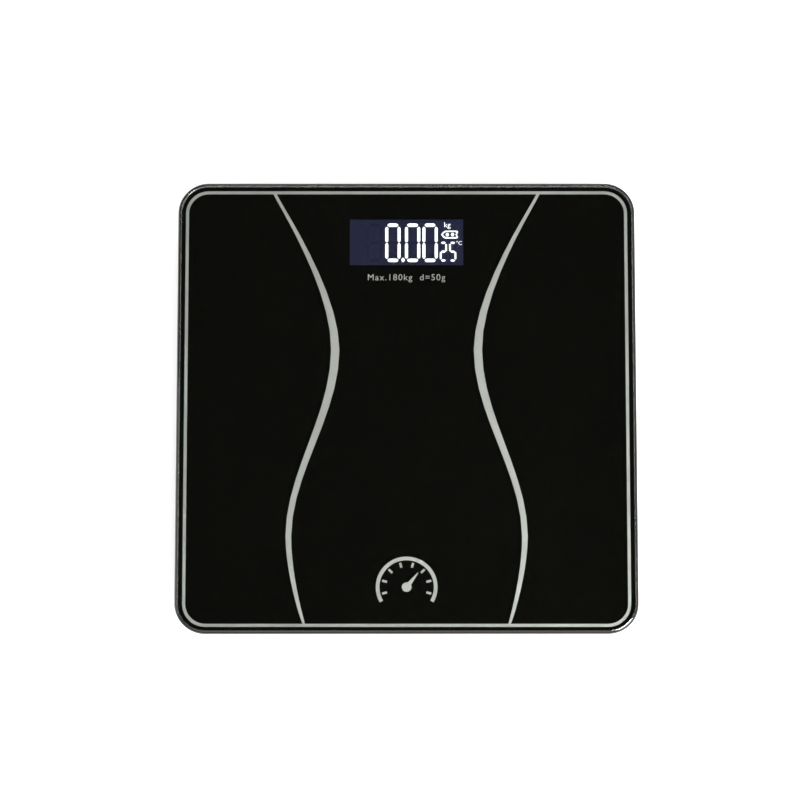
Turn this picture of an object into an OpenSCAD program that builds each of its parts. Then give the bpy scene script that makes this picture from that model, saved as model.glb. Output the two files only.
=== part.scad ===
// Digital bathroom scale: a printed tempered glass platform on a plastic base
// with four load-cell feet, a segment display, a circuit board and two AAA cells.
// Origin on the ground under the middle of the platform. +Z is up, +X is right
// and +Y points to the display edge, which the person on the scale faces.

/* [Platform] */
// Width of the glass platform, left to right
platform_w = 300; // [290:5:400]
// Depth of the glass platform, front to rear
platform_d = 300; // [290:5:400]
// Thickness of the tempered glass
glass_t = 6; // [4:0.5:8]
// Corner radius of the glass, seen from above
corner_r = 20; // [14:1:30]
// Thickness of one printed layer under the glass
print_t = 0.2; // [0.1:0.05:0.3]

/* [Print] */
// From the glass edge to the middle of the border line
border_inset = 6; // [5:0.5:9]
// Width of the border line
border_w = 2; // [1.5:0.1:4]
// Width of the display window
window_w = 74.5; // [66:0.5:90]
// Depth of the display window, front to rear
window_d = 31; // [27:0.5:38]
// Outer diameter of the dial mark near the front edge
mark_d = 40; // [20:1:50]
// From the front glass edge to the middle of the dial mark
mark_inset = 31; // [28:1:40]

/* [Base housing] */
// Gap between the ground and the underside of the base
ground_gap = 4; // [3:0.5:6]
// How far the glass stands past the base on every side
overhang = 16; // [12:0.5:20]
// Corner radius of the base, seen from above
base_corner_r = 16; // [10:1:24]
// Thickness of the base walls
wall_t = 2; // [1.4:0.2:2.6]
// Thickness of the base floor
floor_t = 2; // [1.6:0.2:2.4]
// Radius of the rounded lower edge
base_edge_r = 3; // [1:0.5:4]
// Width of the rim that carries the glass
rim_w = 6; // [4:0.5:8]
// Thickness of the foam tape between the rim and the glass
tape_t = 0.6; // [0.4:0.1:1]
// Thickness of the stiffening ribs
rib_t = 1.4; // [1:0.1:2]
// Height of the stiffening ribs above the floor
rib_h = 6; // [3:0.5:8]

/* [Feet] */
// From the side of the base to the middle of a foot
foot_inset = 31; // [30.5:0.5:36]
// Diameter of the foot cup
foot_d = 44; // [36:0.5:46]
// Height of the foot cup's flange that keeps it in the base
flange_t = 1.4; // [1:0.2:2]
// How far that flange stands past the cup
flange_w = 3; // [2:0.5:3]
// Diameter of the rubber pad
pad_d = 34; // [28:1:36]
// Thickness of the rubber pad
pad_t = 1.8; // [1.2:0.1:2.4]
// How far the pad stands out of the foot cup
pad_stand = 0.8; // [0.5:0.1:1]
// How far a foot gives under full load
foot_travel = 0.5; // [0.2:0.1:0.6]

/* [Load cells] */
// Side of the square load-cell plate
cell_w = 34; // [28:1:35]
// Thickness of the load-cell plate
cell_t = 2; // [1.5:0.1:2.4]
// Width of the plate's outer frame
cell_frame_w = 6; // [4:0.5:7]
// Width of the bending tongue
tongue_w = 12; // [9:1:13]

/* [Display] */
// How far the display's glass reaches past the window, left and right
lcd_side = 2.75; // [2:0.25:4]
// How far the display's glass reaches past the window, front and rear
lcd_end = 2.5; // [2:0.25:4]
// From the rear wall of the base to the display's frame
display_wall_gap = 1.7; // [0.8:0.1:6]
// Thickness of one of the display's two glass sheets
lcd_sheet_t = 1.1; // [0.7:0.1:1.2]
// Thickness of the backlight's light guide
guide_t = 3.2; // [2:0.2:3.4]
// Width of the elastomer connector strip
zebra_w = 2; // [1.6:0.1:2.4]

/* [Circuit board] */
// How far the circuit board reaches past the display's frame, left and right
board_side = 7; // [6:0.5:9]
// Thickness of the circuit board
board_t = 1.6; // [1:0.2:1.8]
// Height of the standoffs under the board
standoff_h = 4; // [3.8:0.1:4.8]
// Diameter of the board's screw shanks
screw_d = 2; // [1.6:0.1:2.4]

/* [Batteries] */
// Diameter of one battery, which sets the height of the base
battery_d = 10.5; // [10:0.1:14.5]
// Length of one battery
battery_l = 44.5; // [37:0.1:54]
// From the middle of the display to the middle of the battery bay
bay_offset = 55.5; // [54:0.5:60]
// Thickness of the bay's walls
bay_wall_t = 1.5; // [1:0.1:2]
// Thickness of the bay's roof
bay_roof_t = 1; // [0.8:0.1:1.4]
// Room between the bay's roof and the print under the glass
bay_headroom = 0.4; // [0.3:0.1:2]
// Free length of the battery springs beside a cell
spring_l = 4; // [3:0.1:5]

/* [Unit button] */
// Diameter of the button under the base
button_d = 9; // [7:0.5:10]
// Button travel
button_travel = 0.4; // [0.2:0.1:0.5]
// Sideways place of the button
button_x = 32; // [24:1:34]

/* [Fits] */
// Gap between fixed parts that fit into each other
fit_gap = 0.2; // [0.1:0.05:0.3]
// Gap round parts that move
move_gap = 0.5; // [0.3:0.1:0.6]

/* [Hidden] */
$fn = 64;

// Heights of the layers, from the ground up
floor_top = ground_gap + floor_t;
bay_gap = 0.35;
battery_z = floor_top + bay_gap + battery_d / 2;
bay_top = battery_z + battery_d / 2 + bay_gap;
print_z = bay_top + bay_roof_t + bay_headroom;
rim_z = print_z - tape_t;
base_h = rim_z - ground_gap;
silver_z = print_z + print_t;
glass_z = silver_z + print_t;

// Base housing
base_w = platform_w - 2 * overhang;
base_d = platform_d - 2 * overhang;
inner_x = base_w / 2 - wall_t;
inner_y = base_d / 2 - wall_t;

// Display and board
lcd_w = window_w + 2 * lcd_side;
lcd_d = window_d + 2 * lcd_end;
board_z = floor_top + standoff_h;
board_top = board_z + board_t;
lcd_top = print_z - fit_gap;
lcd_upper_z = lcd_top - lcd_sheet_t;
lcd_z = lcd_upper_z - lcd_sheet_t;
guide_z = lcd_z - guide_t;
lcd_ledge_d = 4;
frame_side_t = 2.8;
frame_end_t = 1.6;
frame_w = lcd_w + 2 * fit_gap + 2 * frame_side_t;
frame_d = lcd_d + 2 * fit_gap + 2 * frame_end_t;
display_y = inner_y - display_wall_gap - frame_d / 2;
board_w = frame_w + 2 * board_side;
board_d = frame_d + 2 * fit_gap;
zebra_y = -lcd_d / 2 + lcd_ledge_d / 2;
board_hole_x = board_w / 2 - 3;
board_hole_y = board_d / 2 - 3;
peg_x = frame_w / 2 - frame_side_t / 2;
peg_y = frame_d / 2 - 5;

// Feet and load cells
foot_x = base_w / 2 - foot_inset;
foot_y = base_d / 2 - foot_inset;
flange_z = floor_top + fit_gap;
flange_top = flange_z + flange_t;
cell_z = flange_top + foot_travel + move_gap;
cell_top = cell_z + cell_t;
seat_z = cell_top + 1.4;
seat_t = 1.6;
seat_top_z = print_z - 0.4;
well_r = max(foot_d / 2 + flange_w, cell_w / sqrt(2) + fit_gap) + 2 * move_gap;
well_t = 2;
nub_d = 4;
ear_r = well_r + 4.5;
ear_d = 8;
ear_screw_d = 2.4;
wire_d = 1.2;
wire_pitch = 1.4;
wire_slot_w = 3 * wire_pitch + 0.8;

// Battery bay
bay_y = display_y - bay_offset;
battery_pitch = battery_d + 1;
contact_t = 0.4;
stud_l = 2;
bay_l = battery_l + spring_l + stud_l + 2 * contact_t + 0.7;
bay_d = battery_pitch + battery_d + 2;
lid_margin = 3;
lid_w = bay_l + 2 * lid_margin + 2;
lid_front = bay_y - bay_d / 2 - bay_wall_t - 0.5;
lid_rear = bay_y + bay_d / 2 + bay_wall_t + 0.5;
lid_gap = 0.3;
ledge_t = 1.2;
tab_w = 8;
tab_x = lid_w / 2 - 12;
tab_reach = 2.6;
tab_t = 1.2;
latch_w = 14;

// Unit button
button_y = display_y - board_d / 2 + 9;
button_stand = 0.4;
switch_h = 1.6;
switch_w = 6;
plunger_d = 3;
plunger_stand = 0.5;

// ---- helpers ------------------------------------------------------------

// Carries a profile round a rounded rectangle. The profile's x counts from the
// middle of each corner arc outwards, and its y is the height.
module round_rect_sweep(w, d, r) {
    hx = w / 2 - r;
    hy = d / 2 - r;
    for (i = [0:3]) {
        side_x = (i == 0 || i == 3) ? 1 : -1;
        side_y = i < 2 ? 1 : -1;
        reach = i % 2 == 0 ? hx : hy;
        run = i % 2 == 0 ? 2 * hy : 2 * hx;
        translate([side_x * hx, side_y * hy, 0]) rotate([0, 0, 90 * i])
            rotate_extrude(angle = 90) children();
        rotate([0, 0, 90 * i]) translate([reach, run / 2, 0]) rotate([90, 0, 0])
            linear_extrude(run) children();
    }
}

// Middle of a rounded slab, inside its corner arcs
module slab_core(w, d, r, z, t) {
    translate([-w / 2 + r, -d / 2 + r, z]) cube([w - 2 * r, d - 2 * r, t]);
}

// Flat slab with rounded corners, between two heights
module round_slab(w, d, r, z, t) {
    slab_core(w, d, r, z, t);
    round_rect_sweep(w, d, r) translate([0, z]) square([r, t]);
}

// Flat ring of constant width that follows a rounded rectangle
module round_ring(w, d, r, ring_w, z, t) {
    round_rect_sweep(w, d, r) translate([r - ring_w, z]) square([ring_w, t]);
}

// Box centred in x and y, standing at a height
module box_at(x, y, z, size) {
    translate([x - size[0] / 2, y - size[1] / 2, z]) cube(size);
}

// Upright cylinder at a place
module post_at(x, y, z, d, h) {
    translate([x, y, z]) cylinder(d = d, h = h);
}

// Places a part made for the rear right foot at any foot
module at_foot(side_x, side_y) {
    translate([side_x * foot_x, side_y * foot_y, 0])
        mirror([side_x < 0 ? 1 : 0, 0, 0]) mirror([0, side_y < 0 ? 1 : 0, 0]) children();
}

// Places a part at each of the board's four screw holes
module at_board_holes() {
    for (side_x = [-1, 1], side_y = [-1, 1])
        translate([side_x * board_hole_x, display_y + side_y * board_hole_y, 0]) children();
}

function unit(v) = v / norm(v);

// Direction of a path at point i, from its neighbours
function heading(path, i) =
    unit(path[min(i + 1, len(path) - 1)] - path[max(i - 1, 0)]);

// Round wire along a path of points, as one closed solid
module wire(path, d, sides = 6, up = [0, 0, 1]) {
    count = len(path);
    rings = [
        for (i = [0:count - 1])
            let (along = heading(path, i), across = unit(cross(up, along)), rise = cross(along, across))
                for (k = [0:sides - 1])
                    path[i] + d / 2 * (cos(360 * k / sides) * across + sin(360 * k / sides) * rise)
    ];
    walls = [
        for (i = [0:count - 2], k = [0:sides - 1])
            let (a = i * sides + k, b = i * sides + (k + 1) % sides)
                each [[a, a + sides, b], [b, a + sides, b + sides]]
    ];
    start_cap = [for (k = [0:sides - 1]) k];
    end_cap = [for (k = [0:sides - 1]) (count - 1) * sides + sides - 1 - k];
    polyhedron(rings, concat([start_cap], walls, [end_cap]));
}

// The same path moved sideways by a step, for wires that lie side by side
function beside(path, step) = [
    for (i = [0:len(path) - 1]) path[i] + step * unit(cross([0, 0, 1], heading(path, i)))
];

function bezier(p, t) =
    pow(1 - t, 3) * p[0] + 3 * t * pow(1 - t, 2) * p[1] + 3 * t * t * (1 - t) * p[2] + pow(t, 3) * p[3];

// ---- platform -----------------------------------------------------------

module glass_platform() {
    edge_r = glass_t / 2;
    middle = [corner_r - edge_r, glass_z + edge_r];
    rounded_edge = [for (a = [-90:15:90]) middle + edge_r * [cos(a), sin(a)]];
    color([0.55, 0.66, 0.62, 0.5]) {
        slab_core(platform_w, platform_d, corner_r, glass_z, glass_t);
        round_rect_sweep(platform_w, platform_d, corner_r)
            polygon(concat([[0, glass_z]], rounded_edge, [[0, glass_z + glass_t]]));
    }
}

// The waist curves: cubic spans of [x, y, line width] on a platform 300 square,
// stretched with the border. Only the right-hand curve is listed.
border_x = platform_w / 2 - border_inset;
border_y = platform_d / 2 - border_inset;
waist_stretch = [border_x / 144, border_y / 144];
waist_spans = [
    [[87, 144, 2.1], [82.6, 134, 1.9], [46.6, 78.7, 4.4], [46.6, 38, 5.4]],
    [[46.6, 38, 5.4], [46.6, -5.4, 5.3], [76.6, -43.7, 3.8], [76.6, -85.5, 3.7]],
    [[76.6, -85.5, 3.7], [76.6, -108.7, 3.2], [68.1, -139, 2.4], [66, -144, 1.4]]
];
waist_steps = 10;

module waist_curve() {
    line = concat(
        [for (span = waist_spans, k = [0:waist_steps - 1]) bezier(span, k / waist_steps)],
        [waist_spans[2][3]]
    );
    last = len(line) - 1;
    right_side = [for (p = line) [p[0] * waist_stretch[0] + p[2] / 2, p[1] * waist_stretch[1]]];
    left_side = [
        for (i = [0:last])
            let (p = line[last - i]) [p[0] * waist_stretch[0] - p[2] / 2, p[1] * waist_stretch[1]]
    ];
    polygon(concat(right_side, left_side));
}

// Generic dial mark: an arc, tick marks and a pointer
module dial_mark(t) {
    ring_r = mark_d / 2;
    arc_w = mark_d * 0.06;
    translate([0, mark_inset - platform_d / 2, 0]) {
        rotate([0, 0, -30]) rotate_extrude(angle = 240) translate([ring_r - arc_w, 0]) square([arc_w, t]);
        for (a = [-15:30:195]) rotate([0, 0, a]) box_at(ring_r * 0.74, 0, 0, [ring_r * 0.16, arc_w * 0.6, t]);
        tip = [ring_r * 0.6, arc_w * 0.1];
        rotate([0, 0, 52]) linear_extrude(t)
            polygon([[0, -arc_w * 0.7], [tip[0], -tip[1]], tip, [0, arc_w * 0.7]]);
        cylinder(r = arc_w * 1.3, h = t);
    }
}

module silver_shape(t) {
    border_r = corner_r - border_inset + border_w / 2;
    round_ring(2 * border_x + border_w, 2 * border_y + border_w, border_r, border_w, 0, t);
    for (side = [0, 1]) mirror([side, 0, 0]) linear_extrude(t) waist_curve();
    dial_mark(t);
}

module silver_print() {
    color([0.78, 0.79, 0.77]) translate([0, 0, silver_z]) silver_shape(print_t);
}

module black_print() {
    margin = glass_t / 2;
    color([0.06, 0.06, 0.05]) difference() {
        round_slab(platform_w - 2 * margin, platform_d - 2 * margin, corner_r - margin, print_z, 2 * print_t);
        translate([0, 0, silver_z]) silver_shape(2 * print_t);
        box_at(0, display_y, print_z - 1, [window_w, window_d, 3]);
    }
}

module platform_tape() {
    color([0.2, 0.2, 0.2]) difference() {
        round_ring(base_w - 1, base_d - 1, base_corner_r - 0.5, rim_w - 1, rim_z, tape_t);
        display_room();
    }
}

// ---- base housing -------------------------------------------------------

// Space that the display's frame needs beside the rim
module display_room() {
    box_at(0, display_y, board_top, [frame_w + 2 * move_gap, frame_d + 2 * move_gap, base_h]);
}

module base_shell() {
    r = base_corner_r;
    edge_middle = [r - base_edge_r, ground_gap + base_edge_r];
    lower_edge = [for (a = [-90:15:0]) edge_middle + base_edge_r * [cos(a), sin(a)]];
    lip_t = 1.5;
    slope_z = rim_z - lip_t - rim_w + wall_t;
    slab_core(base_w, base_d, r, ground_gap, floor_t);
    round_rect_sweep(base_w, base_d, r) polygon(concat(
        [[0, ground_gap]],
        lower_edge,
        [[r, rim_z], [r - rim_w, rim_z], [r - rim_w, rim_z - lip_t]],
        [[r - wall_t, slope_z], [r - wall_t, floor_top], [0, floor_top]]
    ));
}

// Ring round a foot, two screw bosses and the webs that join them
module foot_well() {
    post_at(0, 0, ground_gap, 2 * (well_r + well_t), seat_z - ground_gap);
    for (turn = [135, -45]) rotate([0, 0, turn]) {
        box_at(well_r + 2, 0, floor_top - 1, [3, 9, seat_z - floor_top - 1]);
        post_at(ear_r, 0, floor_top - 1, ear_d - 1, seat_z - fit_gap - floor_top + 1);
    }
}

module foot_well_cuts() {
    post_at(0, 0, floor_top, 2 * well_r, base_h);
    post_at(0, 0, ground_gap - 1, foot_d + 2 * move_gap, floor_t + 2);
    for (turn = [135, -45]) rotate([0, 0, turn]) post_at(ear_r, 0, floor_top + 1, ear_screw_d, base_h);
    box_at(-well_r - 1, 0, cell_top - 0.6, [well_t + 4, wire_slot_w, 10]);
}

// Box over the batteries, and the ledge that closes the lid's opening round it
module battery_bay() {
    lid_d = lid_rear - lid_front;
    height = bay_top + bay_roof_t - floor_top;
    box_at(0, bay_y, floor_top, [bay_l + 2 * bay_wall_t, bay_d + 2 * bay_wall_t, height]);
    box_at(0, (lid_rear + lid_front) / 2, floor_top - 1, [lid_w + 6, lid_d + 6, 1 + ledge_t]);
}

module battery_bay_cuts() {
    box_at(0, bay_y, floor_top - 3, [bay_l, bay_d, bay_top - floor_top + 3]);
    translate([-lid_w / 2 - lid_gap, lid_front - lid_gap, ground_gap - 1])
        cube([lid_w + 2 * lid_gap, lid_rear - lid_front + 2 * lid_gap, floor_t + 1]);
    for (side = [-1, 1]) translate([side * tab_x - tab_w / 2 - 0.5, lid_rear - 6, floor_top])
        cube([tab_w + 1, 6 + tab_reach + 0.8, 3.2]);
    for (side = [-1, 1])
        box_at(-bay_l / 2 - 1, bay_y + side * battery_pitch / 2, battery_z - 0.4, [4, 3.4, 0.8]);
}

// Walls that guard the latch opening from inside
module latch_guard() {
    box_at(0, lid_front - 3.2, floor_top - 1, [latch_w + 5, 7, 5]);
}

module latch_guard_cut() {
    box_at(0, lid_front - 1.5, ground_gap - 1, [latch_w + 1, 5, floor_t + 4]);
}

module ribs() {
    long_rib_x = 30;
    front_end = -inner_y + 1;
    rear_end = lid_front - 9;
    for (side = [-1, 1]) {
        translate([side * long_rib_x - rib_t / 2, front_end - 2, floor_top - 1])
            cube([rib_t, rear_end - front_end + 2, rib_h + 1]);
    }
    for (y = [-foot_y, -foot_y / 3, rear_end - rib_t])
        box_at(0, y, floor_top - 1, [2 * long_rib_x, rib_t, rib_h + 1]);
    for (side = [-1, 1]) {
        start = 68;
        run = inner_x - start + 1;
        for (y = [-foot_y / 3, foot_y / 3])
            box_at(side * (start + run / 2), y, floor_top - 1, [run, rib_t, rib_h + 1]);
    }
}

module base_housing() {
    color([0.12, 0.12, 0.12]) difference() {
        union() {
            base_shell();
            for (side_x = [-1, 1], side_y = [-1, 1]) at_foot(side_x, side_y) foot_well();
            battery_bay();
            latch_guard();
            ribs();
            at_board_holes() post_at(0, 0, floor_top - 1, 6, standoff_h + 1);
        }
        for (side_x = [-1, 1], side_y = [-1, 1]) at_foot(side_x, side_y) foot_well_cuts();
        battery_bay_cuts();
        latch_guard_cut();
        display_room();
        post_at(button_x, button_y, ground_gap - 1, button_d + 2 * move_gap, floor_t + 2);
        at_board_holes() post_at(0, 0, floor_top + 0.4, screw_d + 0.1, 10);
    }
}

// ---- display ------------------------------------------------------------

module lcd_panel() {
    lower_d = lcd_d - lcd_ledge_d;
    color([0.18, 0.19, 0.32]) {
        box_at(0, display_y, lcd_upper_z, [lcd_w, lcd_d, lcd_sheet_t]);
        box_at(0, display_y + lcd_ledge_d / 2, lcd_z, [lcd_w, lower_d, lcd_sheet_t]);
    }
}

module lcd_frame() {
    plate_t = guide_z - board_top;
    color([0.9, 0.9, 0.88]) {
        difference() {
            box_at(0, display_y, board_top, [frame_w, frame_d, lcd_top - board_top]);
            box_at(0, display_y, guide_z, [lcd_w + 2 * fit_gap, lcd_d + 2 * fit_gap, 10]);
            box_at(0, display_y + 4, board_top - 1, [lcd_w - 14, lcd_d - 16, 10]);
            box_at(0, display_y + zebra_y, board_top - 1, [lcd_w - 4, zebra_w + 2 * fit_gap, plate_t + 2]);
            for (side = [-1, 1])
                box_at(lcd_w / 2 - 1.4, display_y + side * 7, board_top - 1, [2.2, 5, plate_t + 2]);
        }
        for (side_x = [-1, 1], side_y = [-1, 1])
            post_at(side_x * peg_x, display_y + side_y * peg_y, board_z, 2, board_t + 0.5);
    }
}

module backlight_guide() {
    color([0.8, 0.85, 1.0, 0.8])
        box_at(-1, display_y + lcd_ledge_d / 2, guide_z, [lcd_w - 5, lcd_d - lcd_ledge_d - 1, guide_t]);
}

module backlight_leds() {
    color([1, 1, 0.85]) for (side = [-1, 1])
        box_at(lcd_w / 2 - 1.4, display_y + side * 7, board_top, [1.6, 4, lcd_z - board_top - 0.4]);
}

module zebra_strip() {
    color([0.75, 0.45, 0.5])
        box_at(0, display_y + zebra_y, board_top, [lcd_w - 6, zebra_w, lcd_upper_z - board_top]);
}

// ---- circuit board ------------------------------------------------------

module main_board() {
    color([0.05, 0.35, 0.18]) difference() {
        box_at(0, display_y, board_z, [board_w, board_d, board_t]);
        at_board_holes() post_at(0, 0, board_z - 1, screw_d + 0.4, 5);
        for (side_x = [-1, 1], side_y = [-1, 1])
            post_at(side_x * peg_x, display_y + side_y * peg_y, board_z - 1, 2 + fit_gap, 5);
    }
}

module controller_chip() {
    body_w = 10;
    body_t = 1.4;
    lead_pitch = 1;
    translate([-12, display_y + 3, board_z - body_t - 0.1]) {
        color([0.1, 0.1, 0.1]) box_at(0, 0, 0, [body_w, body_w, body_t]);
        color([0.8, 0.8, 0.8]) for (turn = [0:90:270], k = [-4:4])
            rotate([0, 0, turn]) box_at(body_w / 2 + 0.5, k * lead_pitch, body_t - 0.2, [1.4, 0.4, 0.3]);
    }
}

module board_components() {
    chips = [
        for (k = [0:5]) [-34 + 4 * k, 11, 2, 1.2, 0.8],
        for (k = [0:4]) [4 + 4 * k, 12, 2, 1.2, 0.9],
        [8, 2, 5, 4, 1.2], [18, 4, 3, 3, 1.1], [-34, -2, 4, 7, 1.3], [42, 2, 3, 9, 1.8]
    ];
    color([0.75, 0.68, 0.5]) for (c = chips)
        box_at(c[0], display_y + c[1], board_z - c[4], [c[2], c[3], c[4]]);
    // Crystal can
    color([0.8, 0.8, 0.8]) translate([-28, display_y - 10, board_z - 2]) {
        box_at(0, 0, 0, [6, 3.4, 2]);
        for (side = [-1, 1]) post_at(side * 3, 0, 0, 3.4, 2);
    }
    // Capacitor
    color([0.2, 0.3, 0.6]) post_at(24, display_y - 2, board_z - 3, 5, 3);
}

module cross_screw(head_d, head_h, shank_d, shank_l) {
    difference() {
        union() {
            cylinder(d = head_d, h = head_h);
            translate([0, 0, -shank_l]) cylinder(d = shank_d, h = shank_l + 0.5);
        }
        for (turn = [0, 90]) rotate([0, 0, turn])
            box_at(0, 0, head_h * 0.4, [head_d * 0.6, head_d * 0.14, head_h]);
    }
}

module board_screws() {
    color([0.75, 0.75, 0.75]) at_board_holes()
        translate([0, 0, board_top]) cross_screw(4.4, 1.3, screw_d, board_t + standoff_h - 0.8);
}

// ---- unit button --------------------------------------------------------

module unit_switch() {
    color([0.75, 0.75, 0.78]) difference() {
        box_at(button_x, button_y, board_z - switch_h, [switch_w, switch_w, switch_h]);
        post_at(button_x, button_y, board_z - switch_h - 1, plunger_d + fit_gap, switch_h + 0.8);
    }
}

module unit_switch_plunger() {
    top = board_z - 0.3 - button_travel;
    bottom = board_z - switch_h - plunger_stand;
    color([0.15, 0.15, 0.15]) post_at(button_x, button_y, bottom, plunger_d, top - bottom);
}

module unit_button() {
    lip_t = 0.8;
    lip_z = floor_top + 0.1;
    face_z = ground_gap - button_stand;
    plunger_z = board_z - switch_h - plunger_stand;
    color([0.35, 0.35, 0.36]) {
        difference() {
            post_at(button_x, button_y, face_z, button_d, lip_z - face_z + 0.2);
            translate([button_x, button_y, face_z - 13.6]) sphere(r = 14, $fn = 96);
        }
        post_at(button_x, button_y, lip_z, button_d + 3, lip_t);
        post_at(button_x, button_y, lip_z, plunger_d, plunger_z - lip_z);
    }
}

// ---- batteries ----------------------------------------------------------

// One battery along X. Its raised pole points to +X for side 1 and -X for side -1.
module battery(side) {
    pole_l = 1;
    shift = side * (spring_l - stud_l) / 2;
    translate([shift, bay_y + side * battery_pitch / 2, battery_z]) rotate([0, side * 90, 0]) {
        color([0.75, 0.6, 0.25]) post_at(0, 0, -battery_l / 2, battery_d, battery_l - pole_l);
        color([0.8, 0.8, 0.8]) post_at(0, 0, -battery_l / 2, 3.8, battery_l);
    }
}

// Cone-shaped coil spring against the flat pole of each battery
module battery_springs() {
    turns = 3;
    steps = 12;
    thick = 0.6;
    run = spring_l - thick;
    coil = [
        for (i = [0:turns * steps])
            let (f = i / (turns * steps), r = 4 - 1.4 * f)
                [thick / 2 + run * f, r * cos(360 * i / steps), r * sin(360 * i / steps)]
    ];
    color([0.8, 0.8, 0.8]) for (side = [-1, 1])
        translate([0, bay_y + side * battery_pitch / 2, battery_z])
            mirror([side < 0 ? 1 : 0, 0, 0])
                translate([-bay_l / 2 + contact_t + 0.3, 0, 0]) wire(coil, thick, 5, [1, 0, 0]);
}

// Contact plates at both ends of the bay, with studs for the raised poles and
// two tabs that pass through the wall to the leads
module battery_contacts() {
    plate_h = battery_d - 1.5;
    plate_x = bay_l / 2 - contact_t / 2 - 0.1;
    tab_l = bay_wall_t + 1.4;
    pole_x = battery_l / 2 + (spring_l - stud_l) / 2;
    color([0.8, 0.8, 0.8]) {
        box_at(plate_x, bay_y, battery_z - plate_h / 2, [contact_t, battery_pitch + battery_d - 2, plate_h]);
        for (side = [-1, 1]) {
            y = bay_y + side * battery_pitch / 2;
            box_at(-plate_x, y, battery_z - plate_h / 2, [contact_t, battery_d - 1.5, plate_h]);
            box_at(-plate_x - contact_t / 2 - tab_l / 2 + 0.1, y, battery_z - 0.2, [tab_l + 0.2, 3, 0.4]);
            translate([side * pole_x, y, battery_z]) rotate([0, side * 90, 0])
                cylinder(d = 5, h = plate_x - pole_x);
        }
    }
}

module battery_leads() {
    edge = -board_w / 2;
    shared = [
        [edge + 8, bay_y + 16, floor_top + 1], [edge + 2, bay_y + 21, floor_top + 1],
        [edge - 3, display_y - 27, floor_top + 1],
        [edge - 4, display_y - 18, floor_top + 1.6], [edge - 4, display_y - 14, board_top - 0.4],
        [edge - 3, display_y - 11.5, board_top + 1.2], [edge - 1, display_y - 10.2, board_top + 1.4],
        [edge + 1.5, display_y - 9.8, board_top + 1.1], [edge + 4, display_y - 9.8, board_top + 0.7]
    ];
    color([0.7, 0.1, 0.1]) for (side = [-1, 1]) {
        start = [-bay_l / 2 - bay_wall_t - 1.3, bay_y + side * battery_pitch / 2, battery_z + 0.72];
        bend = start + [-1.6, 0.4, -0.6];
        leaving = [start + [0.8, 0, 0], start, bend, [-36 + side, bay_y + 7 + 4 * side, floor_top + 2]];
        wire(concat(leaving, beside(shared, -side * 0.9)), wire_d);
    }
}

module battery_lid() {
    d = lid_rear - lid_front;
    top = floor_top - 0.05;
    color([0.14, 0.14, 0.14]) {
        difference() {
            translate([-lid_w / 2, lid_front, ground_gap]) cube([lid_w, d, top - ground_gap]);
            // Slots that free the latch finger
            for (side = [-1, 1]) box_at(side * (latch_w / 2 - 0.5), lid_front + 4, ground_gap - 1, [1, 9, 4]);
            // Shallow thumb recess
            translate([0, lid_front + 13, ground_gap - 5.4]) sphere(r = 6.4, $fn = 96);
        }
        // Latch finger's nose, in its notch in the base
        box_at(0, lid_front - 1, ground_gap, [latch_w - 3, 2.4, top - ground_gap + 1.2]);
        // Hinge tabs that reach over the base floor
        for (side = [-1, 1]) {
            box_at(side * tab_x, lid_rear - 0.8, top - 0.5, [tab_w, 1.6, tab_t + 0.7]);
            box_at(side * tab_x, lid_rear + tab_reach / 2 - 0.5, top + 0.2, [tab_w, tab_reach + 1, tab_t]);
        }
        // Grip ribs beside the thumb recess
        for (k = [-2:2]) box_at(0, lid_front + 20 + 1.6 * k, ground_gap - 0.3, [16, 0.7, 0.6]);
    }
}

// ---- feet ---------------------------------------------------------------

module foot_pad(side_x, side_y) {
    color([0.16, 0.16, 0.16]) at_foot(side_x, side_y) difference() {
        cylinder(d = pad_d, h = pad_t);
        for (r = [pad_d * 0.22, pad_d * 0.34]) rotate_extrude() translate([r, -0.1]) square([1, 0.5]);
    }
}

module foot_cup(side_x, side_y) {
    edge = 0.8;
    color([0.2, 0.2, 0.21]) at_foot(side_x, side_y) difference() {
        union() {
            translate([0, 0, pad_stand]) cylinder(d1 = foot_d - 2 * edge, d2 = foot_d, h = edge);
            post_at(0, 0, pad_stand + edge, foot_d, flange_top - pad_stand - edge);
            post_at(0, 0, flange_z, foot_d + 2 * flange_w, flange_t);
            post_at(0, 0, flange_z, 12, cell_z - flange_z);
            post_at(0, 0, cell_z - 1, nub_d, cell_t * 0.8 + 1);
        }
        post_at(0, 0, -1, pad_d + fit_gap, pad_t + 1);
        // Hollow between the outer wall, the middle boss and eight webs
        difference() {
            post_at(0, 0, pad_t + 1.6, foot_d - 5, 20);
            post_at(0, 0, 0, 16, 30);
            for (turn = [0:45:135]) rotate([0, 0, turn]) box_at(0, 0, 0, [foot_d, 1.6, 30]);
        }
    }
}

// Square steel plate whose middle tongue bends when the foot is pressed
module load_cell(side_x, side_y) {
    window = cell_w - 2 * cell_frame_w;
    tongue_l = window / 2 + nub_d / 2 + 3;
    color([0.72, 0.72, 0.7]) at_foot(side_x, side_y) difference() {
        box_at(0, 0, cell_z, [cell_w, cell_w, cell_t]);
        difference() {
            box_at(0, 0, cell_z - 1, [window, window, 5]);
            translate([-window / 2 - 1, -tongue_w / 2, cell_z - 2]) cube([tongue_l + 1, tongue_w, 8]);
        }
        post_at(0, 0, cell_z - 1, nub_d + fit_gap, 5);
        for (x = [-1, 1], y = [-1, 1]) {
            hole = cell_w / 2 - cell_frame_w / 2;
            post_at(x * hole, y * hole, cell_z - 1, 2.6, 5);
        }
    }
}

module strain_gauge(side_x, side_y) {
    root = -(cell_w / 2 - cell_frame_w);
    color([0.92, 0.92, 0.9]) at_foot(side_x, side_y) {
        box_at(root + 3, 0, cell_top, [6, 8, 0.3]);
        box_at(root + 2.4, 0, cell_top, [4, 6, 0.5]);
    }
}

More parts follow.
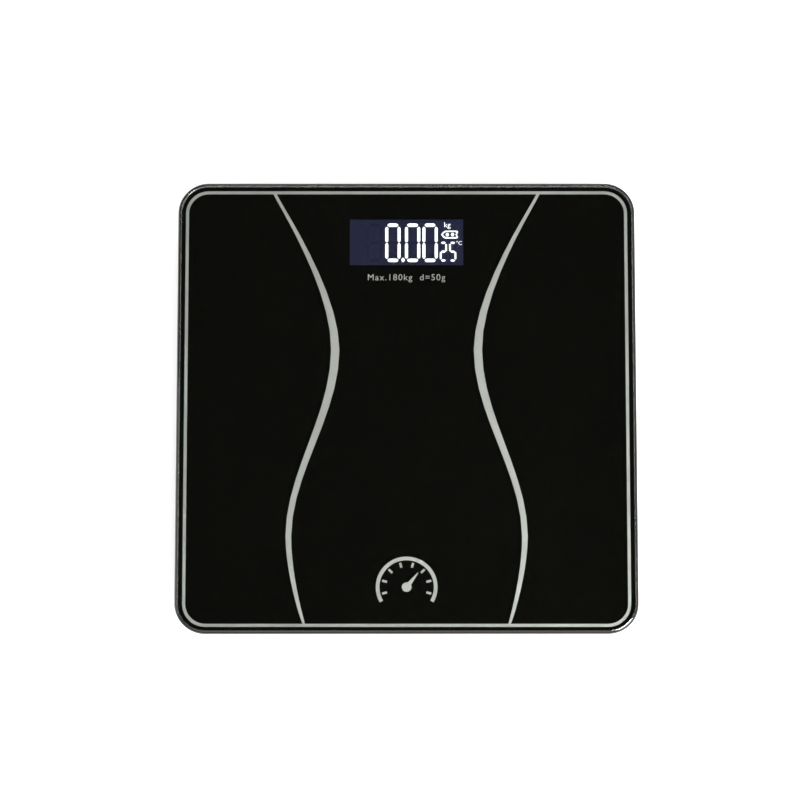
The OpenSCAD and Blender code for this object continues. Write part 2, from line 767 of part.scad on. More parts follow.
// Cap that holds the plate's frame under the glass
module cell_seat(side_x, side_y) {
    color([0.15, 0.15, 0.15]) at_foot(side_x, side_y) difference() {
        union() {
            post_at(0, 0, cell_z + 0.2, 2 * (well_r - 0.4), seat_z - cell_z);
            post_at(0, 0, seat_z, 2 * (well_r + well_t), seat_t);
            difference() {
                post_at(0, 0, seat_z + 0.5, 42, seat_top_z - seat_z - 0.5);
                post_at(0, 0, seat_z + seat_t, 37, 20);
            }
            for (turn = [0, 90]) rotate([0, 0, turn])
                box_at(0, 0, seat_z + 0.5, [40, 1.8, seat_top_z - seat_z - 0.5]);
            for (turn = [135, -45]) rotate([0, 0, turn]) {
                box_at(well_r + 1.5, 0, seat_z, [7, ear_d - 2, seat_t]);
                post_at(ear_r, 0, seat_z, ear_d, seat_t);
            }
        }
        box_at(0, 0, cell_z - 1, [cell_w + fit_gap, cell_w + fit_gap, cell_t + 1]);
        post_at(0, 0, cell_top - 1, 2 * (cell_w / 2 - cell_frame_w) + 2, 3);
        for (turn = [135, -45]) rotate([0, 0, turn]) post_at(ear_r, 0, seat_z - 1, ear_screw_d + 0.4, 5);
        translate([-well_r - 1, -wire_slot_w / 2, cell_top])
            cube([well_r, wire_slot_w, seat_z - cell_top]);
    }
}

module seat_tapes() {
    color([0.9, 0.9, 0.85]) for (side_x = [-1, 1], side_y = [-1, 1])
        at_foot(side_x, side_y) post_at(0, 0, seat_top_z, 40, print_z - seat_top_z);
}

module seat_screws() {
    color([0.75, 0.75, 0.75]) for (side_x = [-1, 1], side_y = [-1, 1], turn = [135, -45])
        at_foot(side_x, side_y) rotate([0, 0, turn]) translate([ear_r, 0, seat_z + seat_t])
            cross_screw(5, 1.5, ear_screw_d - 0.1, seat_t + seat_z - floor_top - 1.6);
}

// Three wires from each strain gauge, over the floor, to the board's side edge
module cell_wires(side_x, side_y) {
    slot_z = cell_top + 0.7;
    lane_z = floor_top + 1;
    join_y = display_y + (side_y > 0 ? 4 : -3.5);
    edge = board_w / 2;
    first = [
        [foot_x - 10.7, 0, slot_z + 0.2], [foot_x - 16, 0, slot_z], [foot_x - well_r - well_t - 1, 0, slot_z],
        [foot_x - well_r - well_t - 4, 0, slot_z - 1.6], [foot_x - well_r - well_t - 7, 0, lane_z + 0.6]
    ];
    rear_run = [
        [foot_x - well_r - well_t - 11, 2.5, lane_z], [edge + 10, join_y - foot_y - 2.5, lane_z],
        [edge + 7, join_y - foot_y - 0.5, lane_z + 0.6]
    ];
    front_run = [
        [edge + 13, 6, lane_z], [edge + 11, 14, lane_z], [edge + 10.5, 24, lane_z],
        [edge + 10.5, foot_y, lane_z], [edge + 10.5, 2 * foot_y - 24, lane_z],
        [edge + 10, 2 * foot_y - 10, lane_z],
        [edge + 8.5, join_y + foot_y - 3, lane_z], [edge + 7, join_y + foot_y - 1, lane_z + 0.6]
    ];
    last = [
        [edge + 4.8, join_y, board_z + 0.4], [edge + 3, join_y, board_top + 0.8],
        [edge + 1, join_y, board_top + 1.3], [edge - 1, join_y, board_top + 1.1],
        [edge - 3.2, join_y, board_top + 0.7]
    ];
    base_y = side_y * foot_y;
    route = concat(
        [for (p = concat(first, side_y > 0 ? rear_run : front_run)) [p[0], p[1] + base_y, p[2]]],
        last
    );
    color([0.8, 0.15, 0.12]) mirror([side_x < 0 ? 1 : 0, 0, 0])
        for (k = [-1:1]) wire(beside(route, k * wire_pitch), wire_d);
}

// ---- nodes --------------------------------------------------------------

glass_platform();
silver_print();
black_print();
platform_tape();
base_housing();
lcd_panel();
lcd_frame();
backlight_guide();
backlight_leds();
zebra_strip();
main_board();
controller_chip();
board_components();
board_screws();
unit_switch();
unit_switch_plunger();
unit_button();
battery(-1);  // battery_cell_front
battery(1);  // battery_cell_rear
battery_springs();
battery_contacts();
battery_leads();
battery_lid();
foot_pad(-1, -1);  // foot_pad_front_left
foot_pad(1, -1);  // foot_pad_front_right
foot_pad(-1, 1);  // foot_pad_rear_left
foot_pad(1, 1);  // foot_pad_rear_right
foot_cup(-1, -1);  // foot_cup_front_left
foot_cup(1, -1);  // foot_cup_front_right
foot_cup(-1, 1);  // foot_cup_rear_left
foot_cup(1, 1);  // foot_cup_rear_right
load_cell(-1, -1);  // load_cell_front_left
load_cell(1, -1);  // load_cell_front_right
load_cell(-1, 1);  // load_cell_rear_left
load_cell(1, 1);  // load_cell_rear_right
strain_gauge(-1, -1);  // strain_gauge_front_left
strain_gauge(1, -1);  // strain_gauge_front_right
strain_gauge(-1, 1);  // strain_gauge_rear_left
strain_gauge(1, 1);  // strain_gauge_rear_right
cell_seat(-1, -1);  // cell_seat_front_left
cell_seat(1, -1);  // cell_seat_front_right
cell_seat(-1, 1);  // cell_seat_rear_left
cell_seat(1, 1);  // cell_seat_rear_right
seat_tapes();
seat_screws();
cell_wires(-1, -1);  // cell_wires_front_left
cell_wires(1, -1);  // cell_wires_front_right
cell_wires(-1, 1);  // cell_wires_rear_left
cell_wires(1, 1);  // cell_wires_rear_right
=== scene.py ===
"""Looks of a digital bathroom scale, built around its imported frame.

Sizes are in metres, in the frame's own axes: +X to the right, +Y to the rear, +Z up, with the
feet standing on z = 0. Each operator makes one piece or one group of like pieces.
"""

import math

import bpy
import numpy as np
from bpy.props import FloatProperty, FloatVectorProperty, PointerProperty, StringProperty
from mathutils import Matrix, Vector


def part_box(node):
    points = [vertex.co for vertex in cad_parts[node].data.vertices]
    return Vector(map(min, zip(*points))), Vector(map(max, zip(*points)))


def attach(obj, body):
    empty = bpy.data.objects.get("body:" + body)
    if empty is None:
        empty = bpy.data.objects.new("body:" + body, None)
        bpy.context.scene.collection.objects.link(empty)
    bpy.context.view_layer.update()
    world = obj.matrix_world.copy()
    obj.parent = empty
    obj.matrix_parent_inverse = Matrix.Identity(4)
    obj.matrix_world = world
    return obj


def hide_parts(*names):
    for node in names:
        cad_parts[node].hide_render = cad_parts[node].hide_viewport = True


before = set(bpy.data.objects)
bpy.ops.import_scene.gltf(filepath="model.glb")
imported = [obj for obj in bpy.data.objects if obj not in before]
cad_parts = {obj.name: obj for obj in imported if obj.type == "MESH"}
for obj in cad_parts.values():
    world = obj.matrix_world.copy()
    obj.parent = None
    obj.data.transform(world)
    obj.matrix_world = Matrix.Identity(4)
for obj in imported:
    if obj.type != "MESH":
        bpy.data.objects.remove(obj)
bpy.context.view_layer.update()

bl_info = {
    "name": "Digital bathroom scale",
    "version": (1, 0, 0),
    "blender": (4, 5, 0),
    "location": "View3D > Sidebar > Scale",
    "description": "Builds the looks of a glass bathroom scale around its frame",
    "category": "Object",
}

MM = 0.001
CORNER_STEPS = 40        # steps of a quarter turn at the platform's corners
PIN_PITCH = 2.54 * MM    # distance between the tinned holes of the board
SPRING_TURNS = 3
READING_SHIFT = (1.1 * MM, -0.2 * MM)    # from the display panel's middle to the reading's
SEGMENT_GAP, SEGMENT_DEPTH = 0.01 * MM, 0.04 * MM    # of the segments' plates over the glass
HORIZON_BAND = (0.30, 0.50)    # heights, as sines, over which the wall light fades in
CEILING_BAND = (0.78, 0.90)    # and over which it gives way to the dark ceiling
FRONT_AND_REAR = (("front", 1), ("rear", -1))    # each dry cell, and the way it points along x
CORNERS = ("front_left", "front_right", "rear_left", "rear_right")
GLASS_LOW, GLASS_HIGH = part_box("glass_platform")
PANEL_LOW, PANEL_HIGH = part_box("lcd_panel")
PANEL_CENTRE = (PANEL_LOW + PANEL_HIGH) / 2
LID_LOW, LID_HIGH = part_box("battery_lid")
BUTTON_LOW, BUTTON_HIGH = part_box("unit_button")
BASE_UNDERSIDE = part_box("base_housing")[0].z
CHIP_LOW, CHIP_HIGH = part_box("controller_chip")
ZEBRA_LOW, ZEBRA_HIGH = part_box("zebra_strip")


# ---------------------------------------------------------------- settings


class GlassSettings(bpy.types.PropertyGroup):
    """Sizes and colour of the tempered glass platform."""

    corner_radius: FloatProperty(
        name="Corner radius", description="Radius of the four corners, seen from above",
        default=20 * MM, min=5 * MM, unit="LENGTH")
    edge_radius: FloatProperty(
        name="Edge radius", description="How far the polished round edge reaches in",
        default=3 * MM, min=0.5 * MM, unit="LENGTH")
    print_gap: FloatProperty(
        name="Gap to the print", description="Gap between the glass and the print under it",
        default=0.04 * MM, min=0.01 * MM, unit="LENGTH")
    tint: FloatVectorProperty(
        name="Tint", description="Colour that light takes at each face of the glass",
        default=(0.975, 0.985, 0.978), subtype="COLOR", min=0, max=1)
    paint: FloatProperty(
        name="Edge paint", description="Thickness of the enamel round the edge",
        default=0.04 * MM, min=0.01 * MM, unit="LENGTH")


class PrintSettings(bpy.types.PropertyGroup):
    """Colours of the inks under the glass, and the rating line."""

    enamel: FloatVectorProperty(
        name="Black enamel", description="Colour of the enamel that backs the glass",
        default=(0.0014, 0.0015, 0.0004), subtype="COLOR", min=0, max=1)
    silver: FloatVectorProperty(
        name="Silver ink", description="Colour of the metallic ink of the border and the curves",
        default=(0.560, 0.570, 0.535), subtype="COLOR", min=0, max=1)
    rating: StringProperty(
        name="Rating line", description="Capacity and step, printed below the display",
        default="Max.180kg  d=50g")
    rating_width: FloatProperty(
        name="Rating width", description="Length of the printed rating line",
        default=50.7 * MM, unit="LENGTH")
    rating_below: FloatProperty(
        name="Rating distance", description="From the middle of the display to the rating line",
        default=24.3 * MM, unit="LENGTH")


class DisplaySettings(bpy.types.PropertyGroup):
    """Reading, sizes and colours of the segment display."""

    reading: StringProperty(
        name="Reading", description="Three large digits; a point follows the first one",
        default="000")
    temperature: StringProperty(
        name="Temperature", description="Two small digits", default="25")
    digit_height: FloatProperty(
        name="Digit height", description="Height of the large digits",
        default=26.2 * MM, unit="LENGTH")
    digit_width: FloatProperty(
        name="Digit width", description="Width of the large digits",
        default=10.1 * MM, unit="LENGTH")
    stroke: FloatProperty(
        name="Stroke", description="Width of a large digit's segments",
        default=2.4 * MM, unit="LENGTH")
    background: FloatVectorProperty(
        name="Background", description="Dark light that the panel gives between its segments",
        default=(0.0080, 0.0094, 0.0335), subtype="COLOR", min=0, max=1)
    lit: FloatVectorProperty(
        name="Lit segments", description="Light of a segment that is on",
        default=(0.93, 0.96, 1.0), subtype="COLOR", min=0, max=1)


class PlasticSettings(bpy.types.PropertyGroup):
    """Colours of the moulded parts and the rubber."""

    housing: FloatVectorProperty(
        name="Housing", description="Colour of the base housing",
        default=(0.022, 0.023, 0.025), subtype="COLOR", min=0, max=1)
    fittings: FloatVectorProperty(
        name="Fittings", description="Colour of the lid, the foot cups and the button",
        default=(0.034, 0.035, 0.038), subtype="COLOR", min=0, max=1)
    rubber: FloatVectorProperty(
        name="Rubber", description="Colour of the foot pads",
        default=(0.060, 0.060, 0.062), subtype="COLOR", min=0, max=1)


class StageSettings(bpy.types.PropertyGroup):
    """Camera, lights and floor."""

    elevation: FloatProperty(
        name="Camera elevation", description="Angle of the camera above the horizon",
        default=math.radians(78), subtype="ANGLE")
    distance: FloatProperty(
        name="Camera distance", description="From the camera to the point it looks at",
        default=2.898, unit="LENGTH")
    aim: FloatVectorProperty(
        name="Aim", description="Point that the camera looks at",
        default=(-0.0043, 0.0048, 0.020), subtype="XYZ", unit="LENGTH")
    lens: FloatProperty(name="Lens", description="Focal length in millimetres", default=200)
    sky: FloatProperty(
        name="Side light", description="Brightness of the ring of panels at the front right",
        default=2.6, min=0)
    shade: FloatProperty(
        name="Shaded side", description="Share of that light that the rear left of the ring gives",
        default=0.45, min=0, max=1)
    horizon: FloatProperty(
        name="Horizon", description="Share of the ring's light that comes from eye level",
        default=0.12, min=0, max=1)
    ceiling: FloatProperty(
        name="Ceiling", description="Brightness of the dark panel overhead", default=0.035, min=0)
    key_power: FloatProperty(
        name="Key light", description="Power of the softbox at the front right",
        default=15.0, unit="POWER")
    fill_power: FloatProperty(
        name="Fill light", description="Power of the softboxes at the left and the rear",
        default=1.5, unit="POWER")
    floor: FloatVectorProperty(
        name="Floor", description="Colour of the floor",
        default=(0.90, 0.90, 0.90), subtype="COLOR", min=0, max=1)
    floor_light: FloatProperty(
        name="Floor light", description="Light that the floor gives by itself, like a light table",
        default=0.42, min=0)


# ---------------------------------------------------------------- shapes


def rounded_rings(low, high, radius, inset, height, steps):
    """Rings round a box: each is a rectangle with round corners, drawn in by inset, at height.

    A corner is a quarter circle about its own centre, whose radius shrinks by the inset.
    """
    inset, height = (np.asarray(values, float)[:, None, None] for values in (inset, height))
    turn = np.linspace(0, math.pi / 2, steps + 1)
    angle = np.arange(4)[:, None] * math.pi / 2 + turn
    sign_x = np.array([1, -1, -1, 1])[:, None]
    sign_y = np.array([1, 1, -1, -1])[:, None]
    corner = np.maximum(radius - inset, 0.02 * MM)
    half_x, half_y = (high[0] - low[0]) / 2, (high[1] - low[1]) / 2
    x = (low[0] + high[0]) / 2 + sign_x * (half_x - inset - corner) + corner * np.cos(angle)
    y = (low[1] + high[1]) / 2 + sign_y * (half_y - inset - corner) + corner * np.sin(angle)
    rings = np.stack([x, y, np.broadcast_to(height, x.shape)], -1)
    return rings.reshape(len(rings), -1, 3)


def ring_quads(rings, columns, wrap=False):
    """Quads between neighbouring rings; with wrap, the last ring meets the first."""
    row, column = np.meshgrid(
        np.arange(rings if wrap else rings - 1), np.arange(columns), indexing="ij")
    beside, above = (column + 1) % columns, (row + 1) % rings
    corners = [row * columns + column, row * columns + beside,
               above * columns + beside, above * columns + column]
    return np.stack(corners, -1).reshape(-1, 4)


def loft(rings, wrap=False):
    """The closed surface through a stack of rings, shut by a flat face at each end.

    With wrap, the last ring joins the first instead, as round the section of a frame.
    """
    count, columns = rings.shape[:2]
    faces = ring_quads(count, columns, wrap).tolist()
    if not wrap:
        faces.append(list(range(columns))[::-1])
        faces.append(list(range((count - 1) * columns, count * columns)))
    return rings.reshape(-1, 3), faces


def lathe(profile, steps, centre=(0, 0, 0)):
    """A turned shape: points (radius, height) of the profile carried round the z axis."""
    radius, height = np.asarray(profile, float).T
    angle = np.linspace(0, 2 * math.pi, steps, endpoint=False)
    rings = np.stack([radius[:, None] * np.cos(angle), radius[:, None] * np.sin(angle),
                      np.broadcast_to(height[:, None], (len(radius), steps))], -1)
    return loft(rings + np.asarray(centre))


def tube(path, radius, sides, across):
    """A round wire: circles of the radius carried along the path, each square to it.

    A circle's first point lies where the path's direction crossed with across points.
    """
    along = np.gradient(path, axis=0)
    along /= np.linalg.norm(along, axis=1, keepdims=True)
    side = np.cross(along, across)
    side /= np.linalg.norm(side, axis=1, keepdims=True)
    angle = np.linspace(0, 2 * math.pi, sides, endpoint=False)[:, None]
    spokes = (np.cos(angle) * side[:, None] + np.sin(angle) * np.cross(along, side)[:, None])
    return loft(path[:, None] + radius * spokes)


def prisms(outlines, low, high):
    """Straight-sided pieces: each outline at the lower height joined to itself at the upper."""
    count, sides = outlines.shape[:2]
    points = np.empty((count, 2, sides, 3))
    points[..., :2] = outlines[:, None]
    points[:, 0, :, 2], points[:, 1, :, 2] = low, high
    start = np.arange(count)[:, None] * 2 * sides
    here, after = np.arange(sides), (np.arange(sides) + 1) % sides
    walls = np.stack([here, after, after + sides, here + sides], -1)[None] + start[..., None]
    faces = [*walls.reshape(-1, 4).tolist(), *(start + here[::-1]).tolist(),
             *(start + sides + here).tolist()]
    return points.reshape(-1, 3), faces


def bars(centres, half_lengths, half_widths, upright):
    """Outlines of segments: straight bars whose ends are cut to blunt points.

    Along the bar the corners stand at its length less the bevel, across it at its width.
    """
    centres = np.asarray(centres, float)
    length, width = (np.asarray(v, float)[:, None] for v in (half_lengths, half_widths))
    bevel, blunt = 0.95 * width, 0.42 * width
    along = np.concatenate([-length, bevel - length, length - bevel, length,
                            length, length - bevel, bevel - length, -length], 1)
    across = np.concatenate([-blunt, -width, -width, -blunt, blunt, width, width, blunt], 1)
    turned = np.asarray(upright)[:, None]
    x = np.where(turned, -across, along)
    y = np.where(turned, along, across)
    return np.stack([x, y], -1) + centres[:, None]


def together(*parts):
    """Several shapes as one: their points in a row, their faces counted on."""
    starts = np.cumsum([0] + [len(points) for points, _ in parts])
    faces = [[start + i for i in face] for start, (_, fs) in zip(starts, parts) for face in fs]
    return np.concatenate([points for points, _ in parts]), faces


def moved(shape, offset, turn_over=False):
    """A shape shifted by offset, first turned over about the y axis if it is to face down."""
    points, faces = shape
    points = points * (-1, 1, -1) if turn_over else points
    return points + np.asarray(offset, float), faces


def lettering(text, width, depth, spacing=1.0):
    """A line of raised text in the xy plane, centred, scaled to its width, from z 0 to depth.

    The text is made a mesh, its doubled points are joined, and its faces turned to face out.
    """
    curve = bpy.data.curves.new("lettering", "FONT")
    curve.body, curve.extrude, curve.resolution_u = text, 0.1, 5
    curve.space_character = spacing
    carrier = placed("lettering", curve)
    ready = carrier.evaluated_get(bpy.context.evaluated_depsgraph_get())
    mesh = bpy.data.meshes.new_from_object(ready)
    mesh.calc_loop_triangles()
    points = np.empty(len(mesh.vertices) * 3)
    mesh.vertices.foreach_get("co", points)
    faces = np.empty(len(mesh.loop_triangles) * 3, int)
    mesh.loop_triangles.foreach_get("vertices", faces)
    bpy.data.objects.remove(carrier)
    bpy.data.curves.remove(curve)
    bpy.data.meshes.remove(mesh)
    merged, index = np.unique(points.reshape(-1, 3).round(5), axis=0, return_inverse=True)
    faces = index.ravel()[faces.reshape(-1, 3)]
    faces = faces[(faces[:, 0] != faces[:, 1]) & (faces[:, 1] != faces[:, 2])
                  & (faces[:, 2] != faces[:, 0])]
    low, high = merged.min(0), merged.max(0)
    merged -= (low + high) / 2
    merged *= width / (high[0] - low[0])
    merged[:, 2] = np.where(merged[:, 2] > 0, depth, 0)
    a, b, c = merged[faces].transpose(1, 0, 2)
    if np.einsum("ij,ij->i", a, np.cross(b, c)).sum() < 0:
        faces = faces[:, ::-1]
    return merged, faces.tolist()


def placed(name, data, location=(0, 0, 0), facing=None):
    """An object of the data in the scene; where facing is given, its back points that way."""
    made = bpy.data.objects.new(name, data)
    bpy.context.scene.collection.objects.link(made)
    made.location = location
    if facing is not None:
        made.rotation_euler = Vector(facing).to_track_quat("Z", "Y").to_euler()
    return made


def mesh_of(name, shape, material):
    """A mesh of points and faces with one finish."""
    points, faces = shape
    mesh = bpy.data.meshes.new(name)
    mesh.from_pydata(points.tolist(), [], faces)
    mesh.materials.append(material)
    return mesh


def piece(name, shape, material, body, replaces=(), crease=35):
    """Makes a piece at the origin from points and faces, smooth except at creases."""
    mesh = mesh_of(name, shape, material)
    mesh.polygons.foreach_set("use_smooth", np.ones(len(mesh.polygons), bool))
    mesh.set_sharp_from_angle(angle=math.radians(crease))
    made = placed(name, mesh)
    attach(made, body)
    if replaces:
        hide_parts(*replaces)
    return made


# ---------------------------------------------------------------- shader maths


def math_method(operation, reflected=False):
    """A method that adds the Math node of this operation to a signal and another value."""

    def method(self, other=0):
        left, right = (other, self) if reflected else (self, other)
        return self.nodes.add("ShaderNodeMath", {0: left, 1: right}, operation=operation)

    return method


class Signal:
    """A node's output in an expression; each sum or product adds the Math node for it."""

    def __init__(self, nodes, socket):
        self.nodes, self.socket = nodes, socket

    __add__ = __radd__ = math_method("ADD")
    __sub__, __rsub__ = math_method("SUBTRACT"), math_method("SUBTRACT", reflected=True)
    __mul__ = __rmul__ = math_method("MULTIPLY")
    __truediv__ = math_method("DIVIDE")
    __pow__ = math_method("POWER")
    __mod__ = math_method("FLOORED_MODULO")
    __gt__, __lt__ = math_method("GREATER_THAN"), math_method("LESS_THAN")
    __abs__ = math_method("ABSOLUTE")


class Nodes:
    """A node tree under construction."""

    def __init__(self, tree):
        self.tree = tree

    def add(self, kind, sockets=None, output=0, stops=(), **settings):
        """Adds a node: its settings, then its ramp's stops, then its sockets' values or links."""
        node = self.tree.nodes.new(kind)
        for key, value in settings.items():
            setattr(node, key, value)
        if stops:
            elements = node.color_ramp.elements
            for element, (position, colour) in zip(tuple(elements), (stops[0], stops[-1])):
                element.position, element.color = position, (*colour, 1)
            for position, colour in stops[1:-1]:
                elements.new(position).color = (*colour, 1)
        self.feed(node, sockets or {})
        return Signal(self, node.outputs[output])

    def feed(self, node, sockets):
        """Gives a node's sockets their values or links."""
        for key, value in sockets.items():
            if isinstance(value, Signal):
                self.tree.links.new(value.socket, node.inputs[key])
            else:
                node.inputs[key].default_value = value

    def spread(self, value, low, high, to_low=0.0, to_high=1.0):
        """Value carried smoothly from the range low to high to the range to_low to to_high."""
        return self.add("ShaderNodeMapRange", {
            "Value": value, "From Min": low, "From Max": high,
            "To Min": to_low, "To Max": to_high}, interpolation_type="SMOOTHSTEP")


class Finish(Nodes):
    """A material under construction: one Principled shader and what feeds it."""

    def __init__(self, name, constants):
        self.material = bpy.data.materials.new(name)
        self.material.use_nodes = True
        super().__init__(self.material.node_tree)
        self.shader = self.tree.nodes["Principled BSDF"]
        self.feed(self.shader, constants)
        self.here = self.add("ShaderNodeTexCoord", output="Object")

    def done(self, **sockets):
        """Feeds the shader what varies over the surface, and gives back the material."""
        names = {"colour": "Base Color", "roughness": "Roughness", "metal": "Metallic",
                 "normal": "Normal", "light": "Emission Color", "coat": "Coat Weight"}
        self.feed(self.shader, {names[key]: value for key, value in sockets.items()})
        return self.material

    def split(self):
        """The place on the piece as three numbers."""
        node = self.add("ShaderNodeSeparateXYZ", {0: self.here}).socket.node
        return [Signal(self, output) for output in node.outputs]

    def stretched(self, scale, turn=(0, 0, 0)):
        """The place on the piece, turned and then stretched along each axis."""
        return self.add("ShaderNodeMapping", {
            "Vector": self.here, "Scale": scale, "Rotation": turn})

    def noise(self, scale, detail=2.0, roughness=0.5, at=None):
        """Cloudy noise from 0 to 1, with this many clouds in a metre."""
        return self.add("ShaderNodeTexNoise", {
            "Vector": at or self.here, "Scale": scale, "Detail": detail, "Roughness": roughness})

    def cells(self, scale, randomness=1.0, at=None, output="Distance", **settings):
        """Distance to the nearest of scattered points, or a cell's own colour."""
        return self.add("ShaderNodeTexVoronoi", {
            "Vector": at or self.here, "Scale": scale, "Randomness": randomness},
            output, **settings)

    def mix(self, factor, first, second):
        """Colour that goes from the first to the second as factor goes from 0 to 1."""
        first, second = (c if isinstance(c, Signal) else (*c, 1) for c in (first, second))
        return self.add("ShaderNodeMix", {0: factor, 6: first, 7: second}, 2, data_type="RGBA")

    def bump(self, height, depth, strength=1.0):
        """The normal of a surface raised by height times depth."""
        return self.add("ShaderNodeBump", {
            "Height": height, "Distance": depth, "Strength": strength})


def shade(colour, share):
    """A colour made lighter or darker."""
    return tuple(min(1.0, part * share) for part in colour)


# ---------------------------------------------------------------- finishes


def tempered_glass(tint):
    """Clear glass, wiped clean, with the faint long waves and haze that tempering leaves."""
    f = Finish("tempered_glass", {
        "Base Color": (*tint, 1), "IOR": 1.52, "Transmission Weight": 1.0})
    haze = f.spread(f.noise(18, 3), 0.50, 0.80, 0.0, 0.004)
    return f.done(roughness=haze, normal=f.bump(f.noise(5, 0), 0.01 * MM, 0.1))


def silver_ink(silver):
    """Screen-printed metallic ink: bright flakes of about a third of a millimetre in a lacquer."""
    f = Finish("silver_ink", {"Specular IOR Level": 0.5})
    flakes = f.cells(3200, output="Color")
    sparkle = f.add("ShaderNodeSeparateColor", {0: flakes})
    cloud = f.noise(140, 3)
    colour = f.mix(sparkle * 0.5 + cloud * 0.5, shade(silver, 0.90), shade(silver, 1.08))
    return f.done(colour=colour, metal=0.62 + 0.16 * sparkle, roughness=0.46 + 0.14 * cloud,
                  normal=f.bump(sparkle, 0.01 * MM, 0.25))


def black_enamel(enamel):
    """Ceramic ink fired onto the glass: deep black with a fine mesh print in it."""
    f = Finish("black_enamel", {"Specular IOR Level": 0.0})
    speck = f.noise(2600, 2)
    cloud = f.noise(30, 3)
    colour = f.mix(speck * 0.4 + cloud * 0.6, shade(enamel, 0.75), shade(enamel, 1.25))
    return f.done(colour=colour, roughness=0.45 + 0.15 * speck,
                  normal=f.bump(speck, 0.01 * MM, 0.4))


def edge_enamel(enamel):
    """Enamel fired round the polished edge: deep black under a glossy, faintly uneven skin."""
    f = Finish("edge_enamel", {"Specular IOR Level": 0.5})
    cloud = f.noise(60, 3)
    colour = f.mix(cloud, shade(enamel, 0.8), shade(enamel, 1.6))
    return f.done(colour=colour, roughness=0.04 + 0.06 * cloud,
                  normal=f.bump(f.noise(25, 1), 0.01 * MM, 0.15))


def moulded(name, colour, roughness, grain, relief, wear_below=None):
    """Moulded plastic with a spark-eroded texture: round cells of the grain's size, finer noise.

    Where wear_below is a height, the skin is scuffed paler and smoother towards the floor.
    """
    f = Finish(name, {"Specular IOR Level": 0.45})
    cells, fine, cloud = f.cells(1 / grain), f.noise(3 / grain, 2), f.noise(22, 3)
    tone = f.mix(cloud * 0.7 + fine * 0.3, shade(colour, 0.80), shade(colour, 1.22))
    rough = roughness + (cloud - 0.5) * 0.14 + fine * 0.06
    if wear_below is not None:
        height = f.split()[2]
        scuffs = f.spread(f.noise(260, 4, 0.7, f.stretched((1, 1, 4))), 0.60, 0.72)
        low = f.spread(height, wear_below, wear_below + 1.5 * MM, 1.0, 0.0)
        tone = f.mix(scuffs * low * 0.5, tone, shade(colour, 3.2))
        rough = rough - scuffs * low * 0.12
    return f.done(colour=tone, roughness=rough, normal=f.bump(cells + fine * 0.5, relief))


def foam_tape():
    """Double-sided foam tape: pale grey foam with open pores, painted darker inside as painted
    shade in the hollows.
    """
    f = Finish("foam_tape", {"Specular IOR Level": 0.2})
    pores = f.spread(f.cells(2600), 0.10, 0.45)
    # The colour darkens inside each pore: painted shade in the hollows, while the same mask also
    # sinks them in the bump.
    colour = f.mix(pores * (0.7 + 0.3 * f.noise(400)), (0.30, 0.30, 0.29), (0.74, 0.74, 0.71))
    return f.done(colour=colour, roughness=0.9 - 0.1 * pores, normal=f.bump(pores, 0.05 * MM))


def pad_rubber(rubber):
    """Soft black rubber with pale dust held in its pores, more of it near the floor."""
    f = Finish("pad_rubber", {"Specular IOR Level": 0.3})
    height = f.split()[2]
    grit = f.noise(1800, 4, 0.7)
    dust = f.spread(f.noise(120, 4, 0.65), 0.50, 0.78) * f.spread(height, 0, 1.6 * MM, 0.55, 0.15)
    colour = f.mix(dust, f.mix(grit, shade(rubber, 0.7), shade(rubber, 1.3)), (0.30, 0.28, 0.25))
    return f.done(colour=colour, roughness=0.72 + 0.20 * grit, normal=f.bump(grit, 0.04 * MM))


def brushed(name, colour, roughness, stretch, tarnish=0.15):
    """Metal with fine parallel scratches: noise drawn out along one axis, and a cloudy tarnish."""
    f = Finish(name, {})
    scratch = f.noise(900, 4, 0.6, f.stretched(stretch))
    cloud = f.noise(160, 3)
    tone = f.mix(scratch * 0.6 + cloud * tarnish, shade(colour, 0.72), colour)
    return f.done(colour=tone, metal=0.92 + 0.08 * cloud, roughness=roughness + 0.16 * scratch,
                  normal=f.bump(scratch, 0.008 * MM, 0.6))


def circuit_board():
    """Green solder mask over copper: stepped lines show as paler green, and tinned holes shine,
    each with its middle painted black as the shade inside the hole.
    """
    f = Finish("circuit_board", {"Specular IOR Level": 0.6})
    lines = f.add("ShaderNodeTexBrick", {
        "Vector": f.here, "Scale": 1.0, "Color1": (0, 0, 0, 1), "Color2": (0, 0, 0, 1),
        "Mortar": (1, 1, 1, 1), "Mortar Size": 0.16 * MM, "Mortar Smooth": 0.1,
        "Brick Width": 7.5 * MM, "Row Height": 1.1 * MM}, output="Fac", offset=0.37, squash=0.6)
    routed = f.noise(70, 1) > 0.47
    copper = lines * routed
    holes = f.cells(1 / PIN_PITCH, 0.0) * (PIN_PITCH / MM)
    field = f.cells(1 / PIN_PITCH, 0.0, output="Color")
    used = f.add("ShaderNodeSeparateColor", {0: field}) > 0.86
    pad = (holes < 0.52) * used
    drilled_hole_shade = (holes < 0.24) * used
    mask = f.mix(copper, (0.006, 0.075, 0.028), (0.020, 0.160, 0.062))
    # The middle of each used hole is painted near-black: painted shade inside the hole.
    colour = f.mix(drilled_hole_shade, f.mix(pad, mask, (0.72, 0.71, 0.68)), (0.01, 0.01, 0.01))
    return f.done(colour=colour, metal=pad * (1 - drilled_hole_shade) * 0.9,
                  roughness=0.28 + 0.12 * f.noise(900, 2), normal=f.bump(copper + pad, 0.03 * MM))


